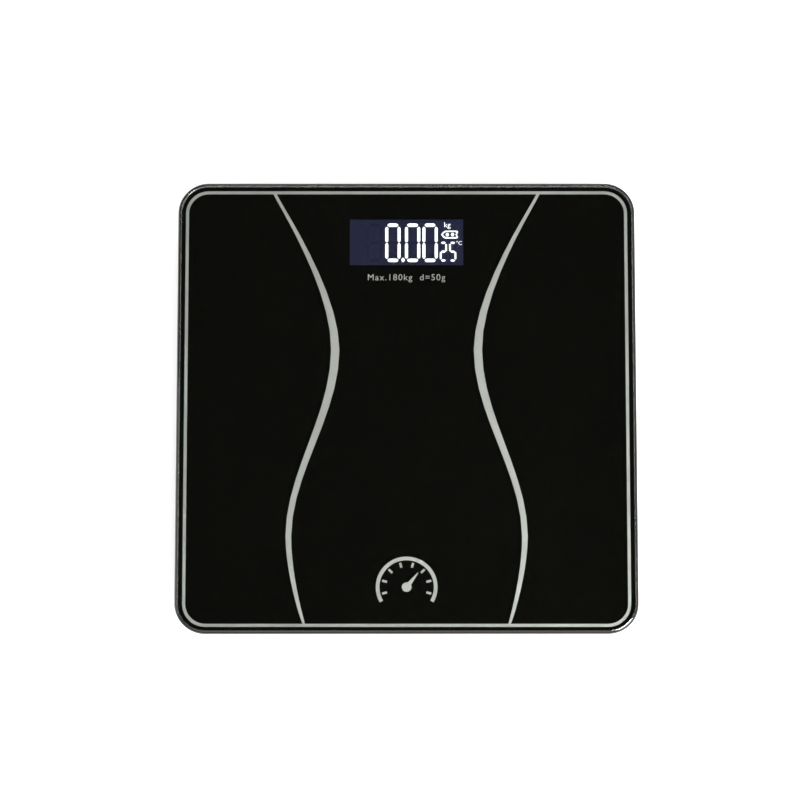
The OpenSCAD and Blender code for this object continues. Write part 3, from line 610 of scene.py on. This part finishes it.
def chip_body():
    """Black epoxy with a fine blast finish, a pin-one spot painted lighter as a painted sheen of
    its polish, and tinned leads.
    """
    f = Finish("chip_body", {})
    x, y, _ = f.split()
    middle = (CHIP_LOW + CHIP_HIGH) / 2
    off_x, off_y = x - middle.x, y - middle.y
    body_half = (CHIP_HIGH.x - CHIP_LOW.x) / 2 - 1.1 * MM
    lead = ((abs(off_x) > body_half) + (abs(off_y) > body_half)) > 0.5
    corner = body_half - 1.6 * MM
    # The pin-one spot is painted a lighter grey: a painted sheen in place of its polish.
    pin_one_sheen = ((off_x + corner) ** 2 + (off_y - corner) ** 2) < (0.5 * MM) ** 2
    grain = f.noise(2400, 3)
    epoxy = f.mix(grain, (0.012, 0.012, 0.013), (0.028, 0.028, 0.030))
    colour = f.mix(lead, f.mix(pin_one_sheen, epoxy, (0.06, 0.06, 0.06)), (0.70, 0.70, 0.68))
    return f.done(colour=colour, metal=lead * 0.95, roughness=0.55 - 0.25 * lead + 0.1 * grain,
                  normal=f.bump(grain, 0.02 * MM))


def small_parts():
    """Capacitors and resistors: each its own tone of tan, grey or black, with tinned ends."""
    f = Finish("small_parts", {})
    tone = f.add("ShaderNodeSeparateColor", {0: f.cells(180, output="Color")})
    body = f.add("ShaderNodeValToRGB", {"Fac": tone}, stops=[
        (0.0, (0.02, 0.02, 0.022)), (0.35, (0.36, 0.25, 0.14)), (0.65, (0.42, 0.40, 0.36)),
        (1.0, (0.015, 0.015, 0.02))])
    x = f.split()[0]
    tin = f.spread(abs((x % (4 * MM)) - 2 * MM), 1.45 * MM, 1.55 * MM)
    grain = f.noise(1500, 2)
    return f.done(colour=f.mix(tin, body, (0.72, 0.71, 0.69)), metal=tin * 0.9,
                  roughness=0.35 + 0.2 * grain, normal=f.bump(grain, 0.015 * MM))


def zebra_rubber():
    """Elastomer strip: a core of black and clear bands 0.2 mm wide, and pink sides."""
    f = Finish("zebra_rubber", {"Specular IOR Level": 0.4})
    x, y, _ = f.split()
    band = ((x / (0.4 * MM)) % 1.0) > 0.5
    side = abs(y - (ZEBRA_LOW.y + ZEBRA_HIGH.y) / 2) > 0.55 * MM
    grain = f.noise(2500, 2)
    core = f.mix(band, (0.015, 0.015, 0.016), (0.62, 0.60, 0.56))
    colour = f.mix(side, core, f.mix(grain, (0.66, 0.34, 0.33), (0.78, 0.46, 0.44)))
    return f.done(colour=colour, roughness=0.55 + 0.15 * grain, normal=f.bump(grain, 0.01 * MM))


def insulated(name, colour):
    """Soft wire insulation: slightly waxy, with faint rings where the extruder left them."""
    f = Finish(name, {"Specular IOR Level": 0.5})
    rings, cloud = f.noise(1400, 2, at=f.stretched((1, 0.3, 1))), f.noise(90, 2)
    tone = f.mix(cloud * 0.6 + rings * 0.4, shade(colour, 0.78), shade(colour, 1.15))
    return f.done(colour=tone, roughness=0.34 + 0.14 * rings, normal=f.bump(rings, 0.02 * MM))


def diffuser():
    """Acrylic light guide, frosted, with a grid of white dots that scatter the light upwards."""
    f = Finish("light_guide", {"Transmission Weight": 0.5, "IOR": 1.49, "Emission Strength": 0.3})
    dots = f.spread(f.cells(1 / (1.2 * MM), 0.0), 0.26, 0.30, 1.0, 0.0)
    frost = f.noise(1600, 2)
    colour = f.mix(dots, (0.80, 0.84, 0.90), (0.97, 0.97, 0.98))
    return f.done(colour=colour, roughness=0.28 + 0.4 * dots + 0.1 * frost,
                  light=f.mix(dots, (0.20, 0.24, 0.34), (0.60, 0.66, 0.80)),
                  normal=f.bump(frost, 0.01 * MM))


def lamp_package():
    """White lamp housings with a yellow phosphor patch on their inner face."""
    f = Finish("lamp_package", {"Emission Strength": 0.6})
    x, _, z = f.split()
    low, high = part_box("backlight_leds")
    patch = f.spread(abs(z - (low.z + high.z) / 2), 1.0 * MM, 1.3 * MM, 1.0, 0.0)
    patch = patch * (x < low.x + 0.2 * MM)
    grain = f.noise(1500, 2)
    colour = f.mix(patch, f.mix(grain, (0.78, 0.78, 0.76), (0.9, 0.9, 0.88)), (0.85, 0.70, 0.12))
    return f.done(colour=colour, roughness=0.4 + 0.1 * grain,
                  light=f.mix(patch, (0.02, 0.02, 0.02), (0.80, 0.86, 1.0)))


def gauge_silicone():
    """Milky silicone over the foil gauge, with the amber foil showing through its thin middle."""
    f = Finish("gauge_silicone", {"Subsurface Weight": 0.25, "Subsurface Scale": 0.001})
    blobs = f.noise(420, 3)
    colour = f.mix(f.spread(blobs, 0.40, 0.65), (0.62, 0.40, 0.20), (0.84, 0.83, 0.78))
    return f.done(colour=colour, roughness=0.24 + 0.16 * blobs, normal=f.bump(blobs, 0.15 * MM))


def battery_jacket(name, pole, toward):
    """Printed film on a dry cell: silver with a blue band at the pole and a thin dark ring.

    Along is the distance from the pole's tip; the steel ends show past the film.
    """
    f = Finish(name, {"Specular IOR Level": 0.6})
    x = f.split()[0]
    along = (x - pole) * toward
    scratch = f.noise(700, 4, 0.65, f.stretched((0.2, 1, 1)))
    film = f.spread(along, 1.25 * MM, 1.35 * MM) * f.spread(along, 44.0 * MM, 44.1 * MM, 1.0, 0.0)
    band = f.spread(along, 13.0 * MM, 13.1 * MM, 1.0, 0.0)
    ring = (abs(along - 14.2 * MM) < 0.5 * MM) + (abs(along - 41.5 * MM) < 0.35 * MM)
    printed = f.mix(band, (0.58, 0.60, 0.62), (0.030, 0.110, 0.360))
    printed = f.mix(ring, printed, (0.015, 0.016, 0.020))
    steel = f.mix(scratch, (0.52, 0.52, 0.50), (0.80, 0.79, 0.77))
    return f.done(colour=f.mix(film, steel, f.mix(scratch * 0.25, printed, (0.8, 0.8, 0.8))),
                  metal=0.95 - 0.45 * film, roughness=0.22 + 0.16 * scratch,
                  normal=f.bump(scratch, 0.01 * MM, 0.5))


def panel_background(background, middle):
    """Dark display glass: an indigo glow, a little stronger at its ends, behind a soft film."""
    f = Finish("panel_background", {
        "Base Color": (0.004, 0.004, 0.006, 1), "Emission Strength": 1.0,
        "Specular IOR Level": 0.3})
    x, y, _ = f.split()
    ends = f.spread(abs(x - middle.x + 12 * MM), 8 * MM, 34 * MM)
    film = f.noise(900, 2)
    cloud = f.noise(60, 2)
    level = 0.25 + 0.35 * ends + 0.3 * cloud + 0.1 * film
    return f.done(light=f.mix(level, shade(background, 0.72), shade(background, 1.30)),
                  roughness=0.30 + 0.12 * film, normal=f.bump(film, 0.01 * MM, 0.3))


def panel_glass():
    """The back glass of the display: dark, edge-ground, with a polariser's soft sheen."""
    f = Finish("panel_glass", {"Specular IOR Level": 0.6})
    film = f.noise(700, 3)
    return f.done(colour=f.mix(film, (0.010, 0.011, 0.020), (0.020, 0.022, 0.036)),
                  roughness=0.18 + 0.2 * film, normal=f.bump(film, 0.01 * MM, 0.4))


def segment(name, light, strength, base):
    """A display segment: an even patch of light with the faint mottling of its electrode."""
    f = Finish(name, {"Base Color": (*base, 1), "Emission Strength": strength,
                      "Specular IOR Level": 0.1})
    mottle = f.noise(1300, 2)
    return f.done(light=f.mix(mottle, shade(light, 0.93), shade(light, 1.04)),
                  roughness=0.5 + 0.2 * mottle)


def pale_floor(colour, light):
    """Matt studio floor with barely visible unevenness, lit a little from below."""
    f = Finish("pale_floor", {
        "Specular IOR Level": 0.05, "Emission Color": (1, 1, 1, 1), "Emission Strength": light})
    cloud = f.noise(3, 4)
    return f.done(colour=f.mix(cloud, shade(colour, 0.985), shade(colour, 1.01)),
                  roughness=0.85 + 0.1 * cloud)


# ---------------------------------------------------------------- pieces


SEGMENTS = {"0": "abcdef", "1": "bc", "2": "abged", "3": "abgcd", "4": "fgbc", "5": "afgcd",
            "6": "afgedc", "7": "abc", "8": "abcdefg", "9": "abcdfg"}


def digit(centre, width, height, stroke):
    """Outlines of a digit's seven segments, in the order a to g.

    The flat bars stand at the top, the middle and the foot, the slimmer upright ones at the
    sides of each half, and every bar stops short of its neighbours by a thin gap.
    """
    slim, gap, reach = 0.84 * stroke, 0.12 * stroke, height / 2 - 1.0 * stroke
    side, top, half = (width - slim) / 2, (height - stroke) / 2, (reach + gap) / 2
    places = [(0, top), (side, half), (side, -half), (0, -top), (-side, -half), (-side, half),
              (0, 0)]
    upright = [False, True, True, False, True, True, False]
    lengths = [(reach - gap) / 2 if up else width / 2 - 0.66 * stroke for up in upright]
    widths = [slim / 2 if up else stroke / 2 for up in upright]
    return bars(np.array(places) + centre, lengths, widths, upright)


def split_digit(outlines, character):
    """A digit's outlines parted into those that are lit for the character and the others."""
    lit = np.array([name in SEGMENTS.get(character, "") for name in "abcdefg"])
    return outlines[lit], outlines[~lit]


class SCALE_OT_glass(bpy.types.Operator):
    """Glass platform with a polished half-round edge"""

    bl_idname = "bathroom_scale.glass"
    bl_label = "Glass platform"

    def execute(self, context):
        """The slab's edge is a half ellipse from the lower face round to the upper one.

        The paint is a thin skin round that ellipse, from its foot to a little below its top.
        """
        own = context.scene.scale_glass
        bottom = GLASS_LOW.z + own.print_gap
        half, middle = (GLASS_HIGH.z - bottom) / 2, (GLASS_HIGH.z + bottom) / 2
        angle = np.radians(np.linspace(-90, 90, 49))
        flats = own.edge_radius * np.array([2.2, 1.4, 1.05])
        inset = [*flats, *(own.edge_radius * (1 - np.cos(angle))), *flats[::-1]]
        height = [*[bottom] * 3, *(middle + half * np.sin(angle)), *[GLASS_HIGH.z] * 3]
        skin = Vector((1, 1, 0)) * own.paint
        low, high = GLASS_LOW + skin, GLASS_HIGH - skin
        rings = rounded_rings(
            low, high, own.corner_radius - own.paint, inset, height, CORNER_STEPS)
        piece("glass_slab", loft(rings), tempered_glass(own.tint), "base",
              ["glass_platform"], crease=60)
        angle = np.radians(np.linspace(-90, 70, 41))
        angle = np.concatenate([angle, angle[::-1]])
        reach = np.repeat([own.paint, 0.25 * own.paint], 41)
        inset = own.edge_radius + own.paint - (own.edge_radius + reach) * np.cos(angle)
        height = middle + (half + reach * 0.9) * np.sin(angle)
        rings = rounded_rings(
            GLASS_LOW, GLASS_HIGH, own.corner_radius, inset, height, CORNER_STEPS)
        enamel = edge_enamel(context.scene.scale_print.enamel)
        piece("edge_skin", loft(rings, wrap=True), enamel, "base", crease=60)
        return {"FINISHED"}


class SCALE_OT_prints(bpy.types.Operator):
    """Inks under the glass, and the rating line below the display"""

    bl_idname = "bathroom_scale.prints"
    bl_label = "Prints"

    def execute(self, context):
        """The border, the curves and the mark keep their frame shapes; the text is new."""
        own = context.scene.scale_print
        silver = silver_ink(own.silver)
        paint("silver_print", silver)
        paint("black_print", black_enamel(own.enamel))
        ink_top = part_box("black_print")[1].z
        text = lettering(own.rating, own.rating_width, 0.012 * MM, 1.16)
        place = (PANEL_CENTRE.x, PANEL_CENTRE.y - own.rating_below, ink_top + 0.004 * MM)
        piece("rating_line", moved(text, place), silver, "base", crease=20)
        return {"FINISHED"}


class SCALE_OT_display(bpy.types.Operator):
    """Segment display: two glasses, lit and dark segments, and its signs"""

    bl_idname = "bathroom_scale.display"
    bl_label = "Display"

    def execute(self, context):
        """Segments are thin plates that lie on the front glass."""
        own = context.scene.scale_display
        self.glasses(own)
        x, y = PANEL_CENTRE.x + READING_SHIFT[0], PANEL_CENTRE.y + READING_SHIFT[1]
        low = PANEL_HIGH.z + SEGMENT_GAP
        high = low + SEGMENT_DEPTH
        lit, dark = self.digits(own, x, y)
        lit_light = segment("segment_lit", own.lit, 1.0, (0.6, 0.6, 0.62))
        parts = [prisms(lit, low, high), *self.battery_sign(x, y, low, high)]
        for text, width, place in (
                ("kg", 4.2 * MM, (25.8, 11.6)), ("°C", 3.7 * MM, (33.4, -0.1))):
            place = (x + place[0] * MM, y + place[1] * MM, low)
            parts.append(moved(lettering(text, width, high - low), place))
        piece("segments_lit", together(*parts), lit_light, "base", crease=20)
        ghost = segment("segment_dark", shade(own.background, 0.93), 1.0, (0.01, 0.01, 0.02))
        piece("segments_dark", prisms(dark, low, high), ghost, "base", crease=20)
        return {"FINISHED"}

    def glasses(self, own):
        """Front glass over a shorter back glass, both with ground edges."""
        seam = (PANEL_LOW.z + PANEL_HIGH.z) / 2
        ledge = ZEBRA_HIGH.y + 0.5 * MM
        inset = np.array([0.25, 0, 0, 0.25]) * MM
        for name, low_y, low_z, high_z, material, stands_for in (
                ("display_front_glass", PANEL_LOW.y, seam, PANEL_HIGH.z,
                 panel_background(own.background, PANEL_CENTRE), ["lcd_panel"]),
                ("display_back_glass", ledge, PANEL_LOW.z, seam - 0.03 * MM, panel_glass(), [])):
            height = [low_z, low_z + 0.15 * MM, high_z - 0.15 * MM, high_z]
            low = (PANEL_LOW.x, low_y)
            rings = rounded_rings(low, PANEL_HIGH, 0.6 * MM, inset, height, 6)
            piece(name, loft(rings), material, "base", stands_for, crease=20)

    def digits(self, own, x, y):
        """Outlines of all lit and all dark segments: a blank digit, three large, two small."""
        size = own.digit_width, own.digit_height, own.stroke
        small = 4.8 * MM, 13.4 * MM, 1.5 * MM
        shown = [split_digit(digit((x + at * MM, y), *size), character)
                 for at, character in zip((-21.9, -10.05, 2.9, 14.35), " " + own.reading)]
        shown += [split_digit(digit((x + at * MM, y - 6.0 * MM), *small), character)
                  for at, character in zip((23.1, 29.2), own.temperature)]
        point = bars([(x - 3.4 * MM, y - 11.65 * MM)], [1.45 * MM], [1.1 * MM], [True])
        lit = np.concatenate([point, *(pair[0] for pair in shown)])
        return lit, np.concatenate([pair[1] for pair in shown])

    def battery_sign(self, x, y, low, high):
        """A low battery: a frame, pointed at the left, notched at the right, round two cells."""
        outline = np.array([
            (-5.7, 0), (-4.4, -1.7), (-3.0, -2.7), (4.7, -2.7), (5.6, -1.9),
            (4.8, 0), (5.6, 1.9), (4.7, 2.7), (-3.0, 2.7), (-4.4, 1.7)]) * MM
        middle = np.array([x + 27.2 * MM, y + 5.5 * MM])
        outside, hole = (1, 1), (0.8, 0.66)
        rings = [np.column_stack([outline * share + middle, np.full(len(outline), z)])
                 for share, z in ((outside, low), (outside, high), (hole, high), (hole, low))]
        cells = middle + np.array([(-1.5, 0), (1.9, 0)]) * MM
        plates = bars(cells, [1.25 * MM] * 2, [1.15 * MM] * 2, [True] * 2)
        return loft(np.array(rings), wrap=True), prisms(plates, low, high)


class SCALE_OT_feet(bpy.types.Operator):
    """Rubber pads with concentric grooves under the four feet"""

    bl_idname = "bathroom_scale.feet"
    bl_label = "Feet"

    def execute(self, context):
        """Each pad is turned: a dished middle, three square-edged grooves and a rounded rim."""
        rubber = pad_rubber(context.scene.scale_plastic.rubber)
        for corner in CORNERS:
            low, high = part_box("foot_pad_" + corner)
            radius, top = (high.x - low.x) / 2, high.z - low.z
            profile = [(0.4 * MM, 0.35 * MM), (1.6 * MM, 0.35 * MM), (2.0 * MM, 0.05 * MM)]
            for start in np.array([5.0, 8.4, 11.8]) * MM:
                groove = ((-0.9, 0), (-0.1, 0.1), (0, 0.55), (1.0, 0.55), (1.1, 0.1))
                profile += [(start + step * MM, depth * MM) for step, depth in groove]
            profile += [(13.4 * MM, 0), (radius - 0.8 * MM, 0)]
            turn = np.radians(np.linspace(15, 90, 6))
            profile += [(radius - 0.6 * MM * (1 - math.sin(t)), 0.6 * MM * (1 - math.cos(t)))
                        for t in turn]
            profile += [(radius, top - 0.15 * MM), (radius - 0.15 * MM, top)]
            centre = ((low.x + high.x) / 2, (low.y + high.y) / 2, low.z)
            piece("pad_" + corner, lathe(profile, 96, centre), rubber, "foot_" + corner,
                  ["foot_pad_" + corner])
        return {"FINISHED"}


class SCALE_OT_batteries(bpy.types.Operator):
    """Two dry cells and their coiled springs"""

    bl_idname = "bathroom_scale.batteries"
    bl_label = "Batteries"

    def execute(self, context):
        """A cell is turned about its own axis, and a spring is a wire wound on a cone."""
        for name, toward in FRONT_AND_REAR:
            low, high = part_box("battery_cell_" + name)
            centre = (low + high) / 2
            length, radius = high.x - low.x, (high.y - low.y) / 2
            profile = self.cell(length, radius)
            points, faces = lathe(profile, 72)
            across, up, along = points.T
            points = np.stack([along * toward, across * toward, up], -1)
            pole = low.x if toward > 0 else high.x
            points += (pole, centre.y, centre.z)
            jacket = battery_jacket("battery_jacket_" + name, pole, toward)
            piece("dry_cell_" + name, (points, faces), jacket, "base",
                  ["battery_cell_" + name])
        self.springs()
        return {"FINISHED"}

    def cell(self, length, radius):
        """Profile of a cell, as (radius, distance from the pole's tip), from pole to flat end."""
        points = [(0.8, 0), (1.6, 0.02), (1.9, 0.3), (1.9, 0.95), (2.3, 1.05), (3.9, 1.05),
                  (4.2, 0.85), (4.8, 0.85)]
        profile = [(r * MM, along * MM) for r, along in points]
        profile += [(radius - 0.15 * MM, 0.95 * MM), (radius, 1.2 * MM)]
        flat_end = ((0, 0.5), (0.2, 0.2), (0.7, 0.05), (1.3, 0.05), (1.6, 0))
        profile += [(radius - inset * MM, length - back * MM) for inset, back in flat_end]
        return profile + [(0.5 * MM, length)]

    def springs(self):
        """Each coil: the angle grows evenly, the radius shrinks evenly, and so does the reach."""
        low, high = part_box("battery_springs")
        steel = brushed("spring_steel", (0.78, 0.77, 0.74), 0.22, (1, 1, 1))
        wire, reach = 0.3 * MM, 3.4 * MM
        share = np.linspace(0, 1, 24 * SPRING_TURNS + 1)
        angle = 2 * math.pi * SPRING_TURNS * share
        cone = (4.0 - 1.4 * share) * MM
        coils = []
        for name, side in FRONT_AND_REAR:
            cell_low, cell_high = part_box("battery_cell_" + name)
            centre = (cell_low + cell_high) / 2
            foot = high.x - wire if side > 0 else low.x + wire
            path = np.stack([foot - side * reach * share, centre.y + cone * np.cos(angle),
                             centre.z + cone * np.sin(angle)], -1)
            coils.append(tube(path, wire, 10, np.array([1.0, 0, 0])))
        piece("coiled_springs", together(*coils), steel, "base",
              ["battery_springs"], crease=60)


class SCALE_OT_underside(bpy.types.Operator):
    """Raised signs on the battery lid and beside the unit button"""

    bl_idname = "bathroom_scale.underside"
    bl_label = "Underside signs"

    def execute(self, context):
        """Each sign is text turned over to face down, sunk a little into what it stands on, in a
        lighter copy of the plastic as a painted highlight.
        """
        plastic = context.scene.scale_plastic
        # The signs take the fittings' plastic 1.6 times lighter: a painted highlight on the raised
        # letters.
        raised = moulded("raised_signs_highlit", shade(plastic.fittings, 1.6), 0.42, 0.4 * MM, 0.01 * MM)
        depth, sunk = 0.25 * MM, 0.05 * MM
        signs = (
            ("lid_sign", "2 x AAA 1.5V", 26 * MM, (0, (LID_LOW.y + LID_HIGH.y) / 2 + 3 * MM),
             "battery_lid", "lid_plastic"),
            ("unit_sign", "kg / lb / st", 17 * MM,
             ((BUTTON_LOW.x + BUTTON_HIGH.x) / 2, BUTTON_LOW.y - 3 * MM), "base", "base_plastic"))
        for name, text, width, (x, y), body, slot in signs:
            sign = lettering(text, width, depth)
            sign = moved(sign, (x, y, BASE_UNDERSIDE + sunk), turn_over=True)
            piece(name, sign, raised, body, crease=20)
        return {"FINISHED"}


def paint(node, material):
    """Gives every material slot of a frame node the same finish."""
    for index in range(len(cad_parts[node].material_slots)):
        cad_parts[node].material_slots[index].material = material


class SCALE_OT_finishes(bpy.types.Operator):
    """Finishes of the frame's own parts"""

    bl_idname = "bathroom_scale.finishes"
    bl_label = "Frame finishes"

    def execute(self, context):
        """One finish for each kind of part, then that finish for each node that has it."""
        plastic = context.scene.scale_plastic
        housing, fittings = tuple(plastic.housing), tuple(plastic.fittings)
        black = moulded("black_plastic", shade(fittings, 0.7), 0.40, 0.3 * MM, 0.010 * MM)
        screws = brushed("screw_steel", (0.62, 0.61, 0.58), 0.26, (1, 1, 0.2))
        foam = foam_tape()
        cups = moulded("cup_plastic", fittings, 0.42, 0.35 * MM, 0.015 * MM, wear_below=1.2 * MM)
        cell = brushed("cell_steel", (0.66, 0.67, 0.68), 0.24, (0.06, 1, 1), 0.4)
        silicone = gauge_silicone()
        wires = insulated("wire_insulation", (0.50, 0.025, 0.02))
        finishes = {
            "base_housing": moulded("base_plastic", housing, 0.50, 0.45 * MM, 0.030 * MM,
                                    wear_below=BASE_UNDERSIDE),
            "platform_tape": foam,
            "seat_tapes": foam,
            "lcd_frame": moulded("white_plastic", (0.74, 0.74, 0.71), 0.38, 0.3 * MM, 0.008 * MM),
            "backlight_guide": diffuser(),
            "backlight_leds": lamp_package(),
            "zebra_strip": zebra_rubber(),
            "main_board": circuit_board(),
            "controller_chip": chip_body(),
            "board_components": small_parts(),
            "board_screws": screws,
            "seat_screws": screws,
            "unit_switch": brushed("switch_steel", (0.70, 0.70, 0.69), 0.22, (1, 0.1, 1)),
            "unit_switch_plunger": black,
            "unit_button": moulded("button_plastic", shade(fittings, 1.5), 0.34, 0.5 * MM,
                                   0.008 * MM),
            "battery_contacts": brushed("contact_metal", (0.76, 0.75, 0.71), 0.22, (1, 1, 0.15)),
            "battery_leads": insulated("lead_insulation", (0.42, 0.02, 0.018)),
            "battery_lid": moulded("lid_plastic", fittings, 0.46, 0.45 * MM, 0.025 * MM,
                                   wear_below=BASE_UNDERSIDE - 0.3 * MM),
        }
        for corner in CORNERS:
            finishes["foot_cup_" + corner] = cups
            finishes["load_cell_" + corner] = cell
            finishes["strain_gauge_" + corner] = silicone
            finishes["cell_seat_" + corner] = black
            finishes["cell_wires_" + corner] = wires
        for node, material in finishes.items():
            paint(node, material)
        return {"FINISHED"}


class SCALE_OT_stage(bpy.types.Operator):
    """Pale floor, soft studio light and the camera"""

    bl_idname = "bathroom_scale.stage"
    bl_label = "Stage"

    def execute(self, context):
        """The walls are bright and the ceiling dark, so the glass reads as black from above."""
        own = context.scene.scale_stage
        context.scene.view_settings.view_transform = "Standard"
        self.floor(own)
        self.sky(context, own)
        self.softbox("key_softbox", (0.42, -0.42, 0.46), 0.35, own.key_power)
        self.softbox("fill_left", (-0.85, -0.05, 0.40), 0.5, own.fill_power)
        self.softbox("fill_rear", (0.05, 0.95, 0.42), 0.6, own.fill_power)
        self.camera(context, own)
        return {"FINISHED"}

    def floor(self, own):
        """A wide flat sheet just under the feet, as a grid of 8 by 8 fields."""
        side = np.linspace(-15, 15, 9)
        x, y = np.meshgrid(side, side)
        points = np.stack([x, y, np.full_like(x, -0.1 * MM)], -1).reshape(-1, 3)
        quads = ring_quads(9, 9).reshape(8, 9, 4)[:, :8].reshape(-1, 4)
        material = pale_floor(tuple(own.floor), own.floor_light)
        mesh = mesh_of("studio_floor", (points, quads.tolist()), material)
        placed("studio_floor", mesh)

    def sky(self, context, own):
        """Light from a ring of panels above eye level, with a dim horizon and a dark ceiling.

        The ring is brightest in the direction (1, -1) and falls off towards the opposite one.
        """
        world = bpy.data.worlds.new("studio")
        world.use_nodes = True
        context.scene.world = world
        nodes = Nodes(world.node_tree)
        way = nodes.add("ShaderNodeTexCoord", output="Generated")
        x, y, height = (nodes.add("ShaderNodeSeparateXYZ", {0: way}, axis) for axis in "XYZ")
        walls = nodes.spread(x - y, -0.7, 0.7, own.sky * own.shade, own.sky)
        horizon = nodes.spread(height, *HORIZON_BAND, own.horizon)
        level = nodes.spread(height, *CEILING_BAND, walls * horizon, own.ceiling)
        nodes.feed(world.node_tree.nodes["Background"], {
            "Color": (1.0, 1.0, 0.985, 1), "Strength": level})

    def softbox(self, name, place, size, power):
        """A square area light that faces the middle of the platform."""
        light = bpy.data.lights.new(name, "AREA")
        light.size, light.energy = size, power
        placed(name, light, place, place)

    def camera(self, context, own):
        """The camera stands in front of and high above the platform, on a long lens."""
        data = bpy.data.cameras.new("studio_camera")
        data.lens, data.clip_end = own.lens, 100
        back = Vector((0, -math.cos(own.elevation), math.sin(own.elevation)))
        place = Vector(own.aim) + back * own.distance
        context.scene.camera = placed("studio_camera", data, place, back)


# ---------------------------------------------------------------- add-on


STEPS = (SCALE_OT_stage, SCALE_OT_finishes, SCALE_OT_glass, SCALE_OT_prints, SCALE_OT_display,
         SCALE_OT_feet, SCALE_OT_batteries, SCALE_OT_underside)
SETTINGS = {"scale_glass": GlassSettings, "scale_print": PrintSettings,
            "scale_display": DisplaySettings, "scale_plastic": PlasticSettings,
            "scale_stage": StageSettings}


class VIEW3D_PT_scale(bpy.types.Panel):
    """Lists the settings and the operators of the scale"""

    bl_label = "Bathroom scale"
    bl_space_type = "VIEW_3D"
    bl_region_type = "UI"
    bl_category = "Scale"

    def draw(self, context):
        """A box of settings for each group, then a button for each operator."""
        for name, group in SETTINGS.items():
            box = self.layout.box()
            for key in group.__annotations__:
                box.prop(getattr(context.scene, name), key)
        for step in STEPS:
            self.layout.operator(step.bl_idname)


def register():
    """Makes the settings, the operators and the panel known."""
    for name, group in SETTINGS.items():
        bpy.utils.register_class(group)
        setattr(bpy.types.Scene, name, PointerProperty(type=group))
    for step in STEPS:
        bpy.utils.register_class(step)
    bpy.utils.register_class(VIEW3D_PT_scale)


def unregister():
    """Takes back what register made known."""
    bpy.utils.unregister_class(VIEW3D_PT_scale)
    for step in reversed(STEPS):
        bpy.utils.unregister_class(step)
    for name, group in reversed(SETTINGS.items()):
        delattr(bpy.types.Scene, name)
        bpy.utils.unregister_class(group)


def main():
    """Builds everything."""
    register()
    for step in STEPS:
        getattr(bpy.ops.bathroom_scale, step.bl_idname.split(".")[1])()


if __name__ == "__main__":
    main()
